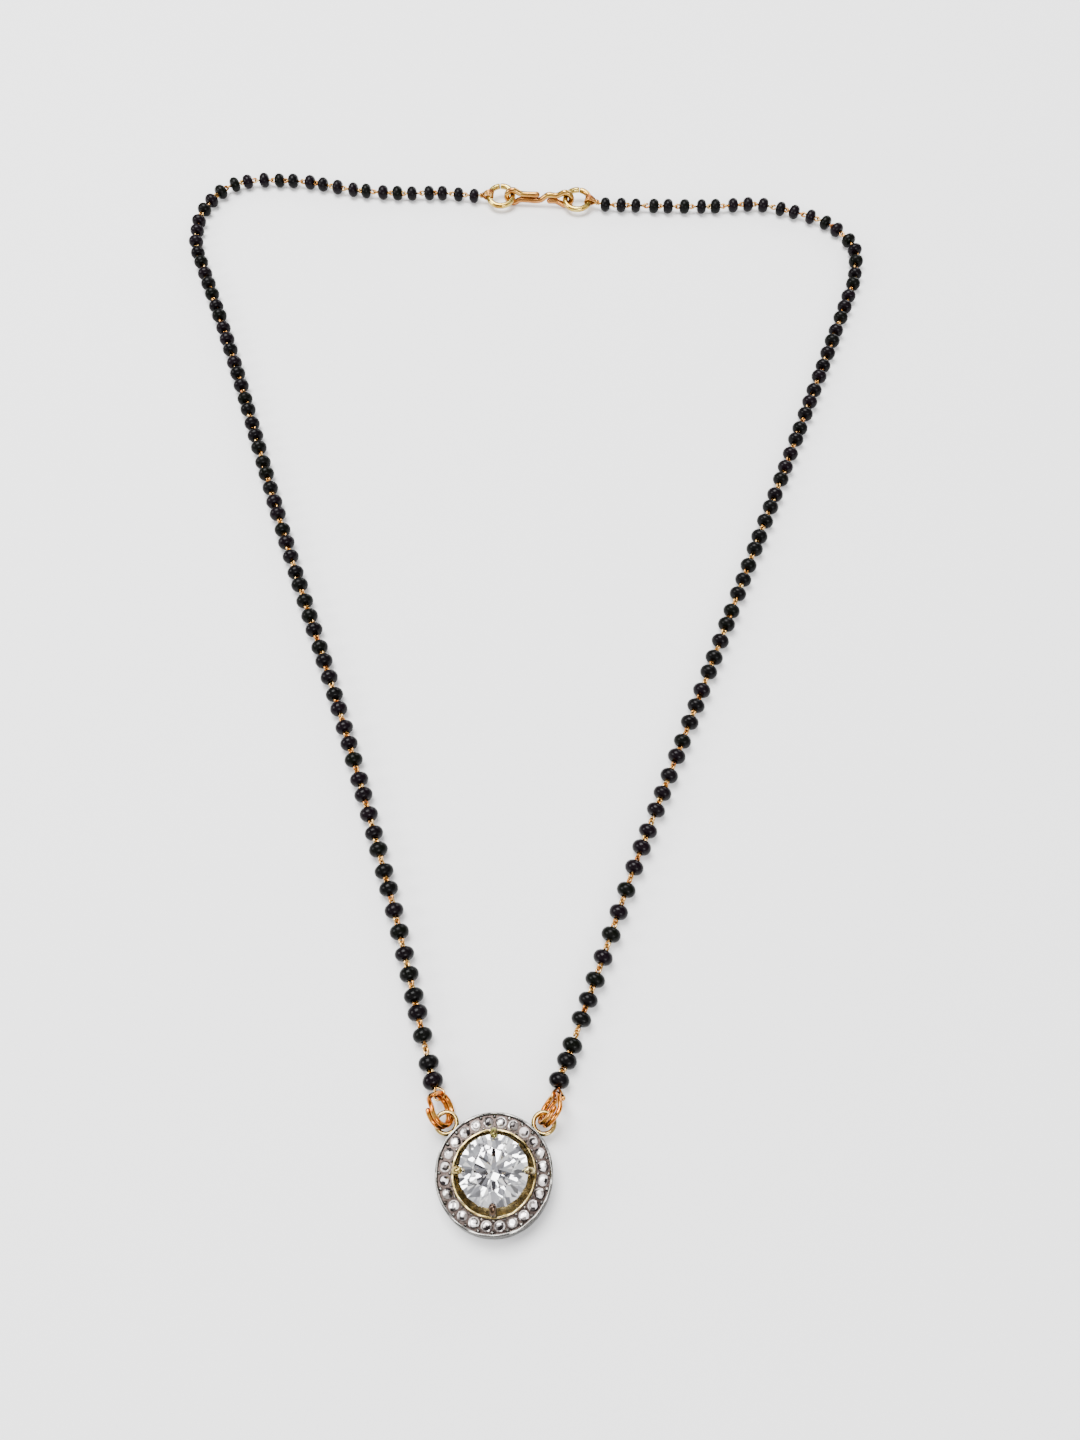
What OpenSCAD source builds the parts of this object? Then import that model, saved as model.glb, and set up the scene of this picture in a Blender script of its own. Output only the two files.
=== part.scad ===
// Mangalsutra necklace: a round stone-set pendant between two strands of black glass beads,
// closed at the back of the neck by an S-shaped hook. It lies flat, the pendant's back on z = 0
// at the origin, with the strands running away along +Y.

/* [Centre stone] */
// Diameter of the centre stone at its girdle
stone_d = 8; // [7:0.1:9]
// Diameter of the flat table on top of the centre stone
stone_table_d = 4.5; // [3.8:0.1:5]
// Height of the crown above the girdle
stone_crown_h = 1.2; // [0.8:0.1:1.5]
// Thickness of the girdle
stone_girdle_h = 0.2; // [0.1:0.05:0.3]
// Depth of the pavilion below the girdle
stone_pavilion_h = 3.4; // [3:0.1:3.6]
// Height of the girdle above the raised rims of the halo
stone_lift = 1.6; // [1:0.1:2]

/* [Halo] */
// Thickness of the halo from its flat back to its raised rims
halo_h = 3; // [2.4:0.1:4]
// Gap between the centre stone and the inner wall of the halo
halo_gap = 0.6; // [0.5:0.05:0.7]
// Width of the raised rim beside the centre stone
inner_rim_w = 0.25; // [0.2:0.05:0.4]
// Width of the raised rim at the outside
outer_rim_w = 0.3; // [0.2:0.05:0.5]
// Width of the channel that holds the small stones
channel_w = 1.6; // [1.5:0.05:2]
// Depth of the channel below the rims
channel_depth = 0.35; // [0.2:0.05:0.5]
// Diameter of each small stone in the channel
halo_stone_d = 1.3; // [1:0.05:1.4]
// Least space between two small stones
halo_stone_gap = 0.16; // [0.12:0.02:0.4]

/* [Cup] */
// Diameter of the hole at the back, under the centre stone
cup_hole_d = 4.4; // [3:0.1:6]
// Height of the cup's inner edge at that hole
cup_edge_h = 0.4; // [0.3:0.05:0.8]
// Height at which the cup meets the halo's inner wall
cup_rise = 1.5; // [1:0.1:2]

/* [Prongs] */
// Diameter of each claw that holds the centre stone
prong_d = 0.8; // [0.6:0.05:1]
// How far each claw reaches in over the crown
prong_reach = 0.15; // [0.1:0.05:0.6]
// Height of each claw's tip above the girdle
prong_rise = 0.5; // [0.45:0.05:0.8]

/* [Side loops] */
// Outer diameter of the two wire loops soldered to the halo
loop_d = 3; // [2.6:0.05:3.2]
// Diameter of the loops' wire
loop_wire = 0.55; // [0.35:0.05:0.6]
// Direction of each loop, measured up from the pendant's centre line
loop_angle = 45; // [35:1:55]

/* [Pendant rings] */
// Outer diameter of the double rings that hang the pendant
pendant_ring_d = 4.4; // [4.2:0.05:5]
// Diameter of the double rings' wire
pendant_ring_wire = 0.58; // [0.4:0.02:0.6]
// How steeply the left double ring stands
left_ring_lean = 56; // [50:1:80]
// How steeply the right double ring stands
right_ring_lean = 70; // [60:1:85]

/* [Beads] */
// Diameter of each glass bead
bead_d = 2.5; // [2:0.05:2.6]
// Length of each bead along the wire
bead_len = 1.75; // [1.4:0.05:1.9]
// Diameter of the hole through each bead
bead_bore = 0.7; // [0.6:0.05:0.9]
// Space between two beads of the left strand, where their wire eyes meet
left_bead_gap = 1.02; // [0.9:0.01:1.4]
// Space between two beads of the right strand
right_bead_gap = 1.12; // [0.9:0.01:1.4]
// How far a bead may have slid along its wire, to either side
bead_slack = 0.2; // [0:0.02:0.3]

/* [Wire] */
// Diameter of the wire through the beads
wire_d = 0.3; // [0.2:0.02:0.36]
// Outer diameter of the wire eye at each end of a strand
end_eye_d = 2.2; // [1.9:0.05:2.4]

/* [Clasp] */
// Outer diameter of the two rings at the clasp
clasp_ring_d = 5.3; // [5:0.1:6]
// Diameter of the clasp rings' wire
clasp_ring_wire = 1; // [0.7:0.05:1.1]
// Width of the butt joint in each clasp ring
clasp_ring_slit = 0.12; // [0.1:0.02:0.3]
// Distance between the centres of the two clasp rings
clasp_span = 13.8; // [13:0.1:16]
// Diameter of the S-hook's wire
hook_wire = 1; // [0.7:0.05:1.15]
// Distance between the two runs of wire along the S-hook
hook_run_gap = 1.05; // [1.05:0.05:1.4]

/* [Hidden] */
$fn = 48;

// Points of each strand's route after its first wire eye and before its last, from pendant to clasp
LEFT_ROUTE = [
    [-7.5, 10.5], [-9, 16], [-14, 34], [-22.5, 60.5], [-33.5, 91.5], [-45, 126], [-53, 148],
    [-55, 153.5], [-55.5, 157], [-55.5, 161.5], [-54.5, 165], [-52.5, 168.5], [-50, 170.5],
    [-45.5, 171.5], [-37, 171], [-29, 169], [-20.5, 168], [-12.5, 168]
];
RIGHT_ROUTE = [
    [7.5, 10.5], [8.5, 13], [10.5, 18.5], [14, 28], [18, 39], [27.5, 63], [38, 90], [48.5, 117],
    [57.5, 140.5], [59.5, 146], [60.5, 152], [60, 155], [58.5, 157.5], [57, 159.5], [55, 161],
    [52, 162.5], [49.5, 163.5], [44, 165], [37, 164.5], [29.5, 164.5], [17, 165]
];
// Where the clasp lies, halfway between its two rings, and how it is turned in plan
CLASP_AT = [5.1, 166.3];
CLASP_TURN = -4;
// The clasp rings lean up at the far side, and the S-hook leans back from upright
CLASP_RING_TILT = 10;
HOOK_LEAN = 10;
// Direction of each double ring in plan, from +Y towards +X
LEFT_RING_TURN = -15;
RIGHT_RING_TURN = 30;

// Clearances
FIT = 0.05;
SOLDER = 0.15;
SEAT_FIT = 0.04;
// How far a strand's end eyes climb above the beads' own height, at the pendant and the clasp
EYE_CLIMB = 0.4;
CLASP_EYE_CLIMB = 0.4;
// A claw's round bend and tip, and the neck between them, as shares of its post
PRONG_BEND = 1.03;
PRONG_NECK = 0.94;
// How far each double ring has slid from the middle of its side loop, along and across itself
LEFT_RING_SLIDE = [-0.25, 0];
RIGHT_RING_SLIDE = [-0.1, -0.2];
// Straight wire between a clasp ring's eye and the last joint of its strand
END_SHANK = 0.5;
// How much thicker than the wire its end eyes are, so that its run ends inside them
EYE_WIRE = 1.12;
// How far a strand's first eye has slid back over its pendant ring, away from the strand
EYE_BACK = 0.25;
// How far the first joint of a strand lies from where its pendant ring carries it
FIRST_JOINT = 0.6;
// Where the first beads of each strand have slid along their wires, from the pendant on
LEFT_SLIDES = [-0.2, -0.72, -0.05, 0, -0.57, -0.54, -0.6, -0.4, -0.2];
RIGHT_SLIDES = [-0.2, -0.53, -1.42, -0.94, -1.25, -1.45, -1.3, -1, -0.7, -0.4];
// The other beads have slid by turns of this many degrees
SLIDE_TURN = 137.5;
RIGHT_SLIDE_PHASE = 70;
// Where the S-hook's wire crosses over, from its middle, half the length of that slant, and how
// far from its middle each tip ends
HOOK_CROSS = 0.75;
HOOK_SLANT = 0.8;
HOOK_TIP = 1.12;

// Steps between two route points, and sides of a swept wire
SPLINE_STEPS = 10;
WIRE_SIDES = 8;
LINK_SIDES = 6;
// Bands on the round side of a bead
BEAD_BANDS = 8;

up = [0, 0, 1];
bead_r = bead_d / 2;
strand_z = bead_r;
stone_r = stone_d / 2;
girdle_z = halo_h + stone_lift;
halo_bore_r = stone_r + halo_gap;
channel_in = halo_bore_r + inner_rim_w;
channel_out = channel_in + channel_w;
halo_r = channel_out + outer_rim_w;
channel_z = halo_h - channel_depth;
halo_stone_ring_r = (channel_in + channel_out) / 2;
halo_stone_count = floor(360 / (2 * asin((halo_stone_d + halo_stone_gap) / 2 / halo_stone_ring_r)));
loop_ring_r = (loop_d - loop_wire) / 2;
loop_at_r = halo_r + loop_d / 2 - SOLDER;
loop_z = halo_h / 2;
pendant_ring_r = (pendant_ring_d - pendant_ring_wire) / 2;
pendant_ring_pitch = pendant_ring_wire + FIT;
clasp_ring_r = (clasp_ring_d - clasp_ring_wire) / 2;
hook_loop_r = (clasp_ring_wire + hook_wire) / 2 + 3 * FIT;
hook_z = (hook_loop_r + hook_wire / 2) * cos(HOOK_LEAN) + FIT;
clasp_ring_z = max(clasp_ring_r * sin(CLASP_RING_TILT) + clasp_ring_wire / 2, hook_z - FIT);
end_eye_r = (end_eye_d - wire_d) / 2;

// A smooth curve through the points p, Catmull-Rom, with its ends kept
function spline_at(p, i, t) =
    let (a = p[max(i - 1, 0)], b = p[i], c = p[i + 1], d = p[min(i + 2, len(p) - 1)])
    (2 * b + (c - a) * t + (2 * a - 5 * b + 4 * c - d) * t * t
        + (3 * b - a - 3 * c + d) * t * t * t) / 2;
function spline(p, steps) = concat(
    [for (i = [0:len(p) - 2]) for (k = [0:steps - 1]) spline_at(p, i, k / steps)],
    [p[len(p) - 1]]
);

// Running length along the points p, and the point at a length along them
function running(p) =
    [for (i = 0, s = 0; i < len(p); i = i + 1, s = i < len(p) ? s + norm(p[i] - p[i - 1]) : s) s];
function along(p, s) =
    let (run = running(p))
    [for (w = s) [for (c = [0, 1]) lookup(w, [for (i = [0:len(p) - 1]) [run[i], p[i][c]]])]];

function unit(v) = v / norm(v);
function last(p) = p[len(p) - 1];
function flat3(p, z) = [for (q = p) [q.x, q.y, z]];

// The path's direction at point i
function heading(p, i) = unit(p[min(i + 1, len(p) - 1)] - p[max(i - 1, 0)]);

// Round wire of diameter d along a path that bends about the direction n
module swept_wire(path, d, sides, n = up) {
    rings = [
        for (i = [0:len(path) - 1])
            let (t = heading(path, i), side = unit(cross(n, t)), over = cross(t, side))
            for (k = [0:sides - 1])
                path[i] + d / 2 * (cos(360 * k / sides) * side + sin(360 * k / sides) * over)
    ];
    walls = [
        for (i = [0:len(path) - 2]) for (k = [0:sides - 1])
            let (a = i * sides + k, b = i * sides + (k + 1) % sides)
            each [[a, a + sides, b], [b, a + sides, b + sides]]
    ];
    start = [[for (k = [0:sides - 1]) k]];
    end = [[for (k = [sides - 1:-1:0]) (len(path) - 1) * sides + k]];
    polyhedron(points = rings, faces = concat(walls, start, end), convexity = 8);
}

// Turns and moves a shape so that its X, Y and Z axes lie along x, y and cross(x, y)
module placed(at, x, y) {
    z = cross(x, y);
    multmatrix([
        [x.x, y.x, z.x, at.x],
        [x.y, y.y, z.y, at.y],
        [x.z, y.z, z.z, at.z],
        [0, 0, 0, 1]
    ])
        children();
}

module wire_ring(r, d) {
    rotate_extrude()
        translate([r, 0])
            circle(d = d);
}

// Pendant

// Round brilliant cut: a table, 8 stars, 8 kites, 16 upper halves, a girdle, 16 lower halves and
// 8 pavilion mains, with its girdle's lower edge at z = 0
function fan(r, z, count, turn) =
    [for (i = [0:count - 1]) [r * cos(360 * i / count + turn), r * sin(360 * i / count + turn), z]];

module brilliant(r, table_r, crown_h, girdle_h, pavilion_h) {
    half = 22.5;
    star_r = (table_r + r) / 2 * 0.98;
    star_z = girdle_h + crown_h * (r - star_r * cos(half)) / (r - table_r);
    lower_r = r * 0.22;
    lower_z = pavilion_h * (lower_r * cos(half) / r - 1);
    points = concat(
        fan(table_r, girdle_h + crown_h, 8, 0), fan(star_r, star_z, 8, half),
        fan(r, girdle_h, 16, 0), fan(r, 0, 16, 0), fan(lower_r, lower_z, 8, half),
        [[0, 0, -pavilion_h]]
    );
    t = 0;
    s = 8;
    g = 16;
    h = 32;
    p = 48;
    culet = 56;
    faces = concat(
        [[for (i = [7:-1:0]) t + i]],
        [for (i = [0:7]) [t + i, t + (i + 1) % 8, s + i]],
        [for (i = [0:7]) [t + i, s + i, g + 2 * i, s + (i + 7) % 8]],
        [for (i = [0:7]) [s + i, g + 2 * i + 1, g + 2 * i]],
        [for (i = [0:7]) [s + i, g + (2 * i + 2) % 16, g + 2 * i + 1]],
        [for (j = [0:15]) [h + j, g + j, g + (j + 1) % 16, h + (j + 1) % 16]],
        [for (i = [0:7]) [p + i, h + 2 * i, h + 2 * i + 1]],
        [for (i = [0:7]) [p + i, h + 2 * i + 1, h + (2 * i + 2) % 16]],
        [for (i = [0:7]) [culet, p + (i + 7) % 8, h + 2 * i, p + i]]
    );
    polyhedron(points = points, faces = faces, convexity = 2);
}

// Single cut for the small stones: a table, 8 crown facets, a girdle and 8 pavilion facets
accent_r = halo_stone_d / 2;
accent_table_r = accent_r * 0.58;
accent_crown_h = accent_r * 0.36;
accent_girdle_h = accent_r * 0.12;
accent_pavilion_h = accent_r * 0.8;

module single_cut() {
    points = concat(
        fan(accent_table_r, accent_girdle_h + accent_crown_h, 8, 0), fan(accent_r, accent_girdle_h, 8, 0),
        fan(accent_r, 0, 8, 0), [[0, 0, -accent_pavilion_h]]
    );
    faces = concat(
        [[for (i = [7:-1:0]) i]],
        [for (i = [0:7]) [i, (i + 1) % 8, 8 + (i + 1) % 8, 8 + i]],
        [for (i = [0:7]) [8 + i, 8 + (i + 1) % 8, 16 + (i + 1) % 8, 16 + i]],
        [for (i = [0:7]) [16 + i, 16 + (i + 1) % 8, 24]]
    );
    polyhedron(points = points, faces = faces, convexity = 2);
}

// Room for a stone in the metal: its outline turned about its axis, larger by the seat's clearance
module seat(r, table_r, crown_h, girdle_h, pavilion_h) {
    c = SEAT_FIT;
    rotate_extrude()
        polygon([
            [0, -pavilion_h - 2 * c], [r + c, -c], [r + c, girdle_h + c],
            [table_r + c, girdle_h + crown_h + c], [0, girdle_h + crown_h + c]
        ]);
}

module at_halo_stones() {
    for (i = [0:halo_stone_count - 1])
        rotate([0, 0, 360 * (i + 0.5) / halo_stone_count])
            translate([halo_stone_ring_r, 0, channel_z])
                children();
}

module halo_band() {
    rotate_extrude()
        polygon([
            [halo_bore_r, 0], [halo_r, 0], [halo_r, halo_h], [channel_out, halo_h],
            [channel_out, channel_z], [channel_in, channel_z], [channel_in, halo_h],
            [halo_bore_r, halo_h]
        ]);
}

// A shallow cup under the centre stone that closes the gap round it
module cup() {
    rotate_extrude()
        polygon([
            [cup_hole_d / 2, 0], [halo_bore_r + SOLDER, 0], [halo_bore_r + SOLDER, cup_rise],
            [halo_bore_r, cup_rise], [cup_hole_d / 2, cup_edge_h]
        ]);
}

// One claw: an upright post fused to the halo's inner wall, bent in over the girdle
module prong() {
    r = prong_d / 2;
    post_r = stone_r + halo_gap - r * 0.6;
    bend_z = girdle_z + stone_girdle_h;
    tip = [stone_r - prong_reach, 0, bend_z + prong_rise];
    bend = [post_r, 0, bend_z];
    lean = tip - bend;
    translate([post_r, 0, cup_rise / 2])
        cylinder(r = r, h = bend_z - cup_rise / 2);
    translate(bend)
        sphere(r = r * PRONG_BEND);
    translate(bend)
        rotate([0, atan2(lean.x, lean.z), 0])
            cylinder(r = r * PRONG_NECK, h = norm(lean));
    translate(tip)
        sphere(r = r * PRONG_BEND);
}

module pendant_setting() {
    color("wheat")
        difference() {
            union() {
                halo_band();
                cup();
                for (a = [0:90:270])
                    rotate([0, 0, a])
                        prong();
                for (a = [loop_angle, 180 - loop_angle])
                    rotate([0, 0, a])
                        translate([loop_at_r, 0, loop_z])
                            wire_ring(loop_ring_r, loop_wire);
            }
            translate([0, 0, girdle_z])
                seat(stone_r, stone_table_d / 2, stone_crown_h, stone_girdle_h, stone_pavilion_h);
            at_halo_stones()
                seat(accent_r, accent_table_r, accent_crown_h, accent_girdle_h, accent_pavilion_h);
        }
}

module center_stone() {
    color("white")
        translate([0, 0, girdle_z])
            brilliant(stone_r, stone_table_d / 2, stone_crown_h, stone_girdle_h, stone_pavilion_h);
}

module halo_stones() {
    color("mistyrose")
        at_halo_stones()
            single_cut();
}

// Double rings between the pendant and the strands

// Each ring stands on its lower edge, passes through its side loop and carries the strand's eye
function ring_frame(side, turn, lean, slide) =
    let (
        a = [sin(turn), cos(turn), 0],
        out = side * [cos(turn), -sin(turn), 0],
        b = cos(lean) * out + sin(lean) * up,
        z = pendant_ring_r * sin(lean) + pendant_ring_pitch / 2 * cos(lean) + pendant_ring_wire / 2,
        rise = pendant_ring_r * sin(lean),
        at_loop = asin((z - loop_z) / rise),
        at_eye = asin((z - strand_z - EYE_CLIMB) / rise),
        loop = [side * loop_at_r * cos(loop_angle), loop_at_r * sin(loop_angle), loop_z],
        centre = loop + slide[0] * a + slide[1] * out
            + pendant_ring_r * (cos(at_loop) * a + sin(at_loop) * b),
        eye = centre + pendant_ring_r * (cos(at_eye) * a - sin(at_eye) * b),
        along_ring = sin(at_eye) * a + cos(at_eye) * b
    )
    [centre, a, b, eye, along_ring];

left_frame = ring_frame(-1, LEFT_RING_TURN, left_ring_lean, LEFT_RING_SLIDE);
right_frame = ring_frame(1, RIGHT_RING_TURN, right_ring_lean, RIGHT_RING_SLIDE);

// Two turns of wire side by side, stepping from one to the other where the ring's ends meet
module double_ring(frame) {
    step = 0.08;
    turns = [for (t = [step:(2 - 2 * step) / 46:2 - step + 0.001]) t];
    shift = function (t)
        let (w = min(max((t - 1 + step) / (2 * step), 0), 1)) (w * w * (3 - 2 * w) - 0.5) * pendant_ring_pitch;
    path = [for (t = turns) [
        pendant_ring_r * cos(360 * t + 60), pendant_ring_r * sin(360 * t + 60), shift(t)
    ]];
    placed(frame[0], frame[1], frame[2])
        swept_wire(path, pendant_ring_wire, LINK_SIDES);
}

module left_pendant_ring() {
    color("darkorange")
        double_ring(left_frame);
}

module right_pendant_ring() {
    color("darkorange")
        double_ring(right_frame);
}

// Clasp

clasp_dir = [cos(CLASP_TURN), sin(CLASP_TURN), 0];
clasp_across = [-sin(CLASP_TURN), cos(CLASP_TURN), 0];
ring_up = cos(CLASP_RING_TILT) * clasp_across + sin(CLASP_RING_TILT) * up;
hook_up = cos(HOOK_LEAN) * up + sin(HOOK_LEAN) * clasp_across;
function clasp_point(side, reach, z) =
    [CLASP_AT.x, CLASP_AT.y, z] + side * (clasp_span / 2 + reach) * clasp_dir;

module clasp_ring(side) {
    placed(clasp_point(side, 0, clasp_ring_z), clasp_dir, ring_up)
        difference() {
            wire_ring(clasp_ring_r, clasp_ring_wire);
            rotate([0, 0, 90 - side * 8])
                translate([clasp_ring_r / 2, -clasp_ring_slit / 2, -clasp_ring_wire])
                    cube([clasp_ring_r, clasp_ring_slit, 2 * clasp_ring_wire]);
        }
}

module left_clasp_ring() {
    color("khaki")
        clasp_ring(-1);
}

module right_clasp_ring() {
    color("khaki")
        clasp_ring(1);
}

// An S bent from one wire: a round eye at each end, and each tip laid back beside the other run
module s_hook() {
    half = clasp_span / 2 - clasp_ring_r - FIT;
    run = hook_run_gap / 2;
    eye = [for (a = [72:24:288]) hook_loop_r * [cos(a), sin(a)]];
    left_eye = [for (q = eye) [q.x - half, q.y]];
    right_eye = [for (q = eye) [half - q.x, q.y]];
    neck = half - 1.35 * hook_loop_r;
    mid = HOOK_CROSS;
    points = concat(
        [[mid - HOOK_TIP, run], [-neck, run]], left_eye, [[-neck, -run], [mid - HOOK_SLANT, -run]],
        [[mid + HOOK_SLANT, run], [neck, run]], right_eye, [[neck, -run], [mid + HOOK_TIP, -run]]
    );
    color("burlywood")
        placed(clasp_point(0, -clasp_span / 2, hook_z), clasp_dir, hook_up)
            swept_wire(flat3(spline(points, 2), 0), hook_wire, WIRE_SIDES);
}

// Strands

// The middles of a strand's beads along its curve, each a little off its even place, and the
// joints of its wires halfway between them; both start at the pendant's end
clasp_eye_reach = clasp_ring_r + FIT;
end_lead = end_eye_r + END_SHANK;
function strand_curve(start, route, end) =
    spline(concat([[start.x, start.y]], route, [[end.x, end.y]]), SPLINE_STEPS);
function slid(k, first, phase) =
    k < len(first) ? first[k] : bead_slack * sin(SLIDE_TURN * k + phase);
function strand(curve, gap, first, phase, first_z) =
    let (
        total = last(running(curve)) - FIRST_JOINT - end_lead,
        count = round(total / (bead_len + gap)),
        middles = [for (k = [0:count - 1])
            FIRST_JOINT + (k + 0.5) * total / count + slid(k, first, phase)],
        meets = [for (k = [0:count])
            k == 0 ? FIRST_JOINT : k == count ? FIRST_JOINT + total
                : (middles[k - 1] + middles[k]) / 2],
        beads = flat3(along(curve, middles), strand_z),
        joints = flat3(along(curve, meets), strand_z),
        rise = (first_z - strand_z) * up
    )
    [
        [for (k = [0:count - 1]) beads[k] + (k == 0 ? rise / 2 : 0 * up)],
        [for (k = [0:count]) joints[k] + (k == 0 ? rise : 0 * up)]
    ];

left_start = left_frame[3];
right_start = right_frame[3];
left_end = clasp_point(-1, clasp_eye_reach, strand_z + CLASP_EYE_CLIMB);
right_end = clasp_point(1, clasp_eye_reach, strand_z + CLASP_EYE_CLIMB);
left_strand = strand(
    strand_curve(left_start, LEFT_ROUTE, left_end), left_bead_gap, LEFT_SLIDES, 0, left_start.z
);
right_strand = strand(
    strand_curve(right_start, RIGHT_ROUTE, right_end), right_bead_gap, RIGHT_SLIDES,
    RIGHT_SLIDE_PHASE, right_start.z
);

// A glass bead turned like a ring, with its hole along Z and its round side in narrow bands
module bead() {
    round_r = bead_len / 2;
    rotate_extrude()
        difference() {
            polygon(concat(
                [[0, -round_r]],
                [for (a = [-90:180 / BEAD_BANDS:90.1])
                    [bead_r - round_r + round_r * cos(a), round_r * sin(a)]],
                [[0, round_r]]
            ));
            translate([-bead_r, -bead_len])
                square([bead_r + bead_bore / 2, 2 * bead_len]);
        }
}

module beads(strand) {
    for (k = [0:len(strand[0]) - 1]) {
        dir = unit(strand[1][k + 1] - strand[1][k]);
        translate(strand[0][k])
            rotate([0, acos(dir.z), atan2(dir.y, dir.x)])
                bead();
    }
}

// A wire eye in the plane that holds the wire's direction and lies across the ring it grips
module end_eye(at, dir, ring_dir) {
    across = unit(ring_dir - (ring_dir * dir) * dir);
    placed(at, dir, cross(across, dir))
        wire_ring(end_eye_r, EYE_WIRE * wire_d);
}

module strand_wire(joints, start, start_ring, end, end_ring) {
    in_dir = unit(joints[1] - start);
    out_dir = unit(last(joints) - end);
    path = concat(
        [start + (end_eye_r - EYE_BACK) * in_dir], [for (k = [1:len(joints) - 1]) joints[k]],
        [end + end_eye_r * out_dir]
    );
    swept_wire(path, wire_d, WIRE_SIDES);
    end_eye(start - EYE_BACK * in_dir, in_dir, start_ring);
    end_eye(end, out_dir, end_ring);
}

module left_beads() {
    color("black")
        beads(left_strand);
}

module right_beads() {
    color("black")
        beads(right_strand);
}

module left_wire() {
    color("goldenrod")
        strand_wire(left_strand[1], left_start, left_frame[4], left_end, ring_up);
}

module right_wire() {
    color("goldenrod")
        strand_wire(right_strand[1], right_start, right_frame[4], right_end, ring_up);
}

pendant_setting();
center_stone();
halo_stones();
left_pendant_ring();
right_pendant_ring();
left_beads();
right_beads();
left_wire();
right_wire();
left_clasp_ring();
right_clasp_ring();
s_hook();
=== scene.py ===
"""Mangalsutra: black glass beads on linked gold wire, a round stone-set pendant and an S-hook.

Laid out as a Blender add-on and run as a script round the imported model. Formulas work in
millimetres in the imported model's frame: the pendant's back on z = 0 at the origin, the strands
running away along +Y. Lengths become metres when a mesh is made.
"""

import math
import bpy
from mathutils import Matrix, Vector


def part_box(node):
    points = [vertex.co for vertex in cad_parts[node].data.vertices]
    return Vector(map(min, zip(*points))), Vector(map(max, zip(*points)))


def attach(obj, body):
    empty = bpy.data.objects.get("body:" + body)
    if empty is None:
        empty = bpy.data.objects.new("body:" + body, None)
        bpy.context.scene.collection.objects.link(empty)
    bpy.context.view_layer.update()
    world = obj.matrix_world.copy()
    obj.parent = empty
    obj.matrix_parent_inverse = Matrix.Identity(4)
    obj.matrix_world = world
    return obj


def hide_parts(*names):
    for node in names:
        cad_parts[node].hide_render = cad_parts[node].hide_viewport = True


bl_info = {
    "name": "Mangalsutra necklace",
    "version": (1, 0, 0),
    "blender": (4, 5, 0),
    "location": "View3D > Sidebar > Mangalsutra",
    "description": "Builds the visible pieces of a mangalsutra round its packed construction",
    "category": "Add Mesh",
}

from types import SimpleNamespace

import bpy
import numpy as np

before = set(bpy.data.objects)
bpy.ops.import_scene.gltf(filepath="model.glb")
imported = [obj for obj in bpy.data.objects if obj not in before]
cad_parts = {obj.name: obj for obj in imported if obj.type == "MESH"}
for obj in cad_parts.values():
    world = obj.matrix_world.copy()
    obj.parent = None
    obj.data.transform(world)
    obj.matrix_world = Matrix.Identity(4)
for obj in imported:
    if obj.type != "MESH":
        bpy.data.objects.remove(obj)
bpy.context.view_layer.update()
STONE_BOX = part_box("center_stone")
MM = 0.001
UP = np.array([0.0, 0.0, 1.0])
ROOT = "root"

# Points of each strand's route after its first wire eye and before its last, as in the solids
LEFT_ROUTE = [
    [-7.5, 10.5], [-9, 16], [-14, 34], [-22.5, 60.5], [-33.5, 91.5], [-45, 126], [-53, 148],
    [-55, 153.5], [-55.5, 157], [-55.5, 161.5], [-54.5, 165], [-52.5, 168.5], [-50, 170.5],
    [-45.5, 171.5], [-37, 171], [-29, 169], [-20.5, 168], [-12.5, 168],
]
RIGHT_ROUTE = [
    [7.5, 10.5], [8.5, 13], [10.5, 18.5], [14, 28], [18, 39], [27.5, 63], [38, 90], [48.5, 117],
    [57.5, 140.5], [59.5, 146], [60.5, 152], [60, 155], [58.5, 157.5], [57, 159.5], [55, 161],
    [52, 162.5], [49.5, 163.5], [44, 165], [37, 164.5], [29.5, 164.5], [17, 165],
]
# The clasp's middle, its direction from +X, and how its rings and the S-hook lean
CLASP_AT = [5.1, 166.3]
CLASP_TURN = math.radians(-4)
CLASP_RING_TILT = math.radians(10)
HOOK_LEAN = math.radians(10)
# Each double ring's direction in plan, and how far it has slid along and across itself
LEFT_RING_TURN = math.radians(-15)
RIGHT_RING_TURN = math.radians(30)
LEFT_RING_SLIDE = (-0.25, 0.0)
RIGHT_RING_SLIDE = (-0.1, -0.2)
# Space between loose pieces, and overlap of soldered ones
FIT = 0.05
SOLDER = 0.15
# How far a strand's end eyes climb above its beads, at the pendant and at the clasp
EYE_CLIMB = 0.4
CLASP_EYE_CLIMB = 0.4
# How far a strand's first joint lies from its pendant ring, and its last from its clasp eye
FIRST_JOINT = 0.6
END_SHANK = 0.5
# Where a strand's first beads have slid along their wires; the others slide by turns of an angle
LEFT_SLIDES = [-0.2, -0.72, -0.05, 0, -0.57, -0.54, -0.6, -0.4, -0.2]
RIGHT_SLIDES = [-0.2, -0.53, -1.42, -0.94, -1.25, -1.45, -1.3, -1, -0.7, -0.4]
SLIDE_TURN = 137.5
RIGHT_SLIDE_PHASE = 70
# Where the S-hook's wire crosses over, half that slant's length, and where its tips end
HOOK_CROSS = 0.75
HOOK_SLANT = 0.8
HOOK_TIP = 1.12
SPLINE_STEPS = 10
SMALL_STONES = 24

# What the visible pieces add to the solids: how pale each claw is painted, right, top, left and
# bottom, as painted light and shade on one gold
CLAW_LIGHTING = (0.9, 0.35, 0.6, 0.1)
# The wire wound through a ring at a strand's end: how far a turn reaches behind the ring's wire,
# half its width and how far it reaches towards the bead, and then its turns
PENDANT_WRAP, PENDANT_TURNS = (0.62, 0.8, 0.82), 1
CLASP_WRAP, CLASP_TURNS = (0.74, 0.76, 1.25), 5
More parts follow.
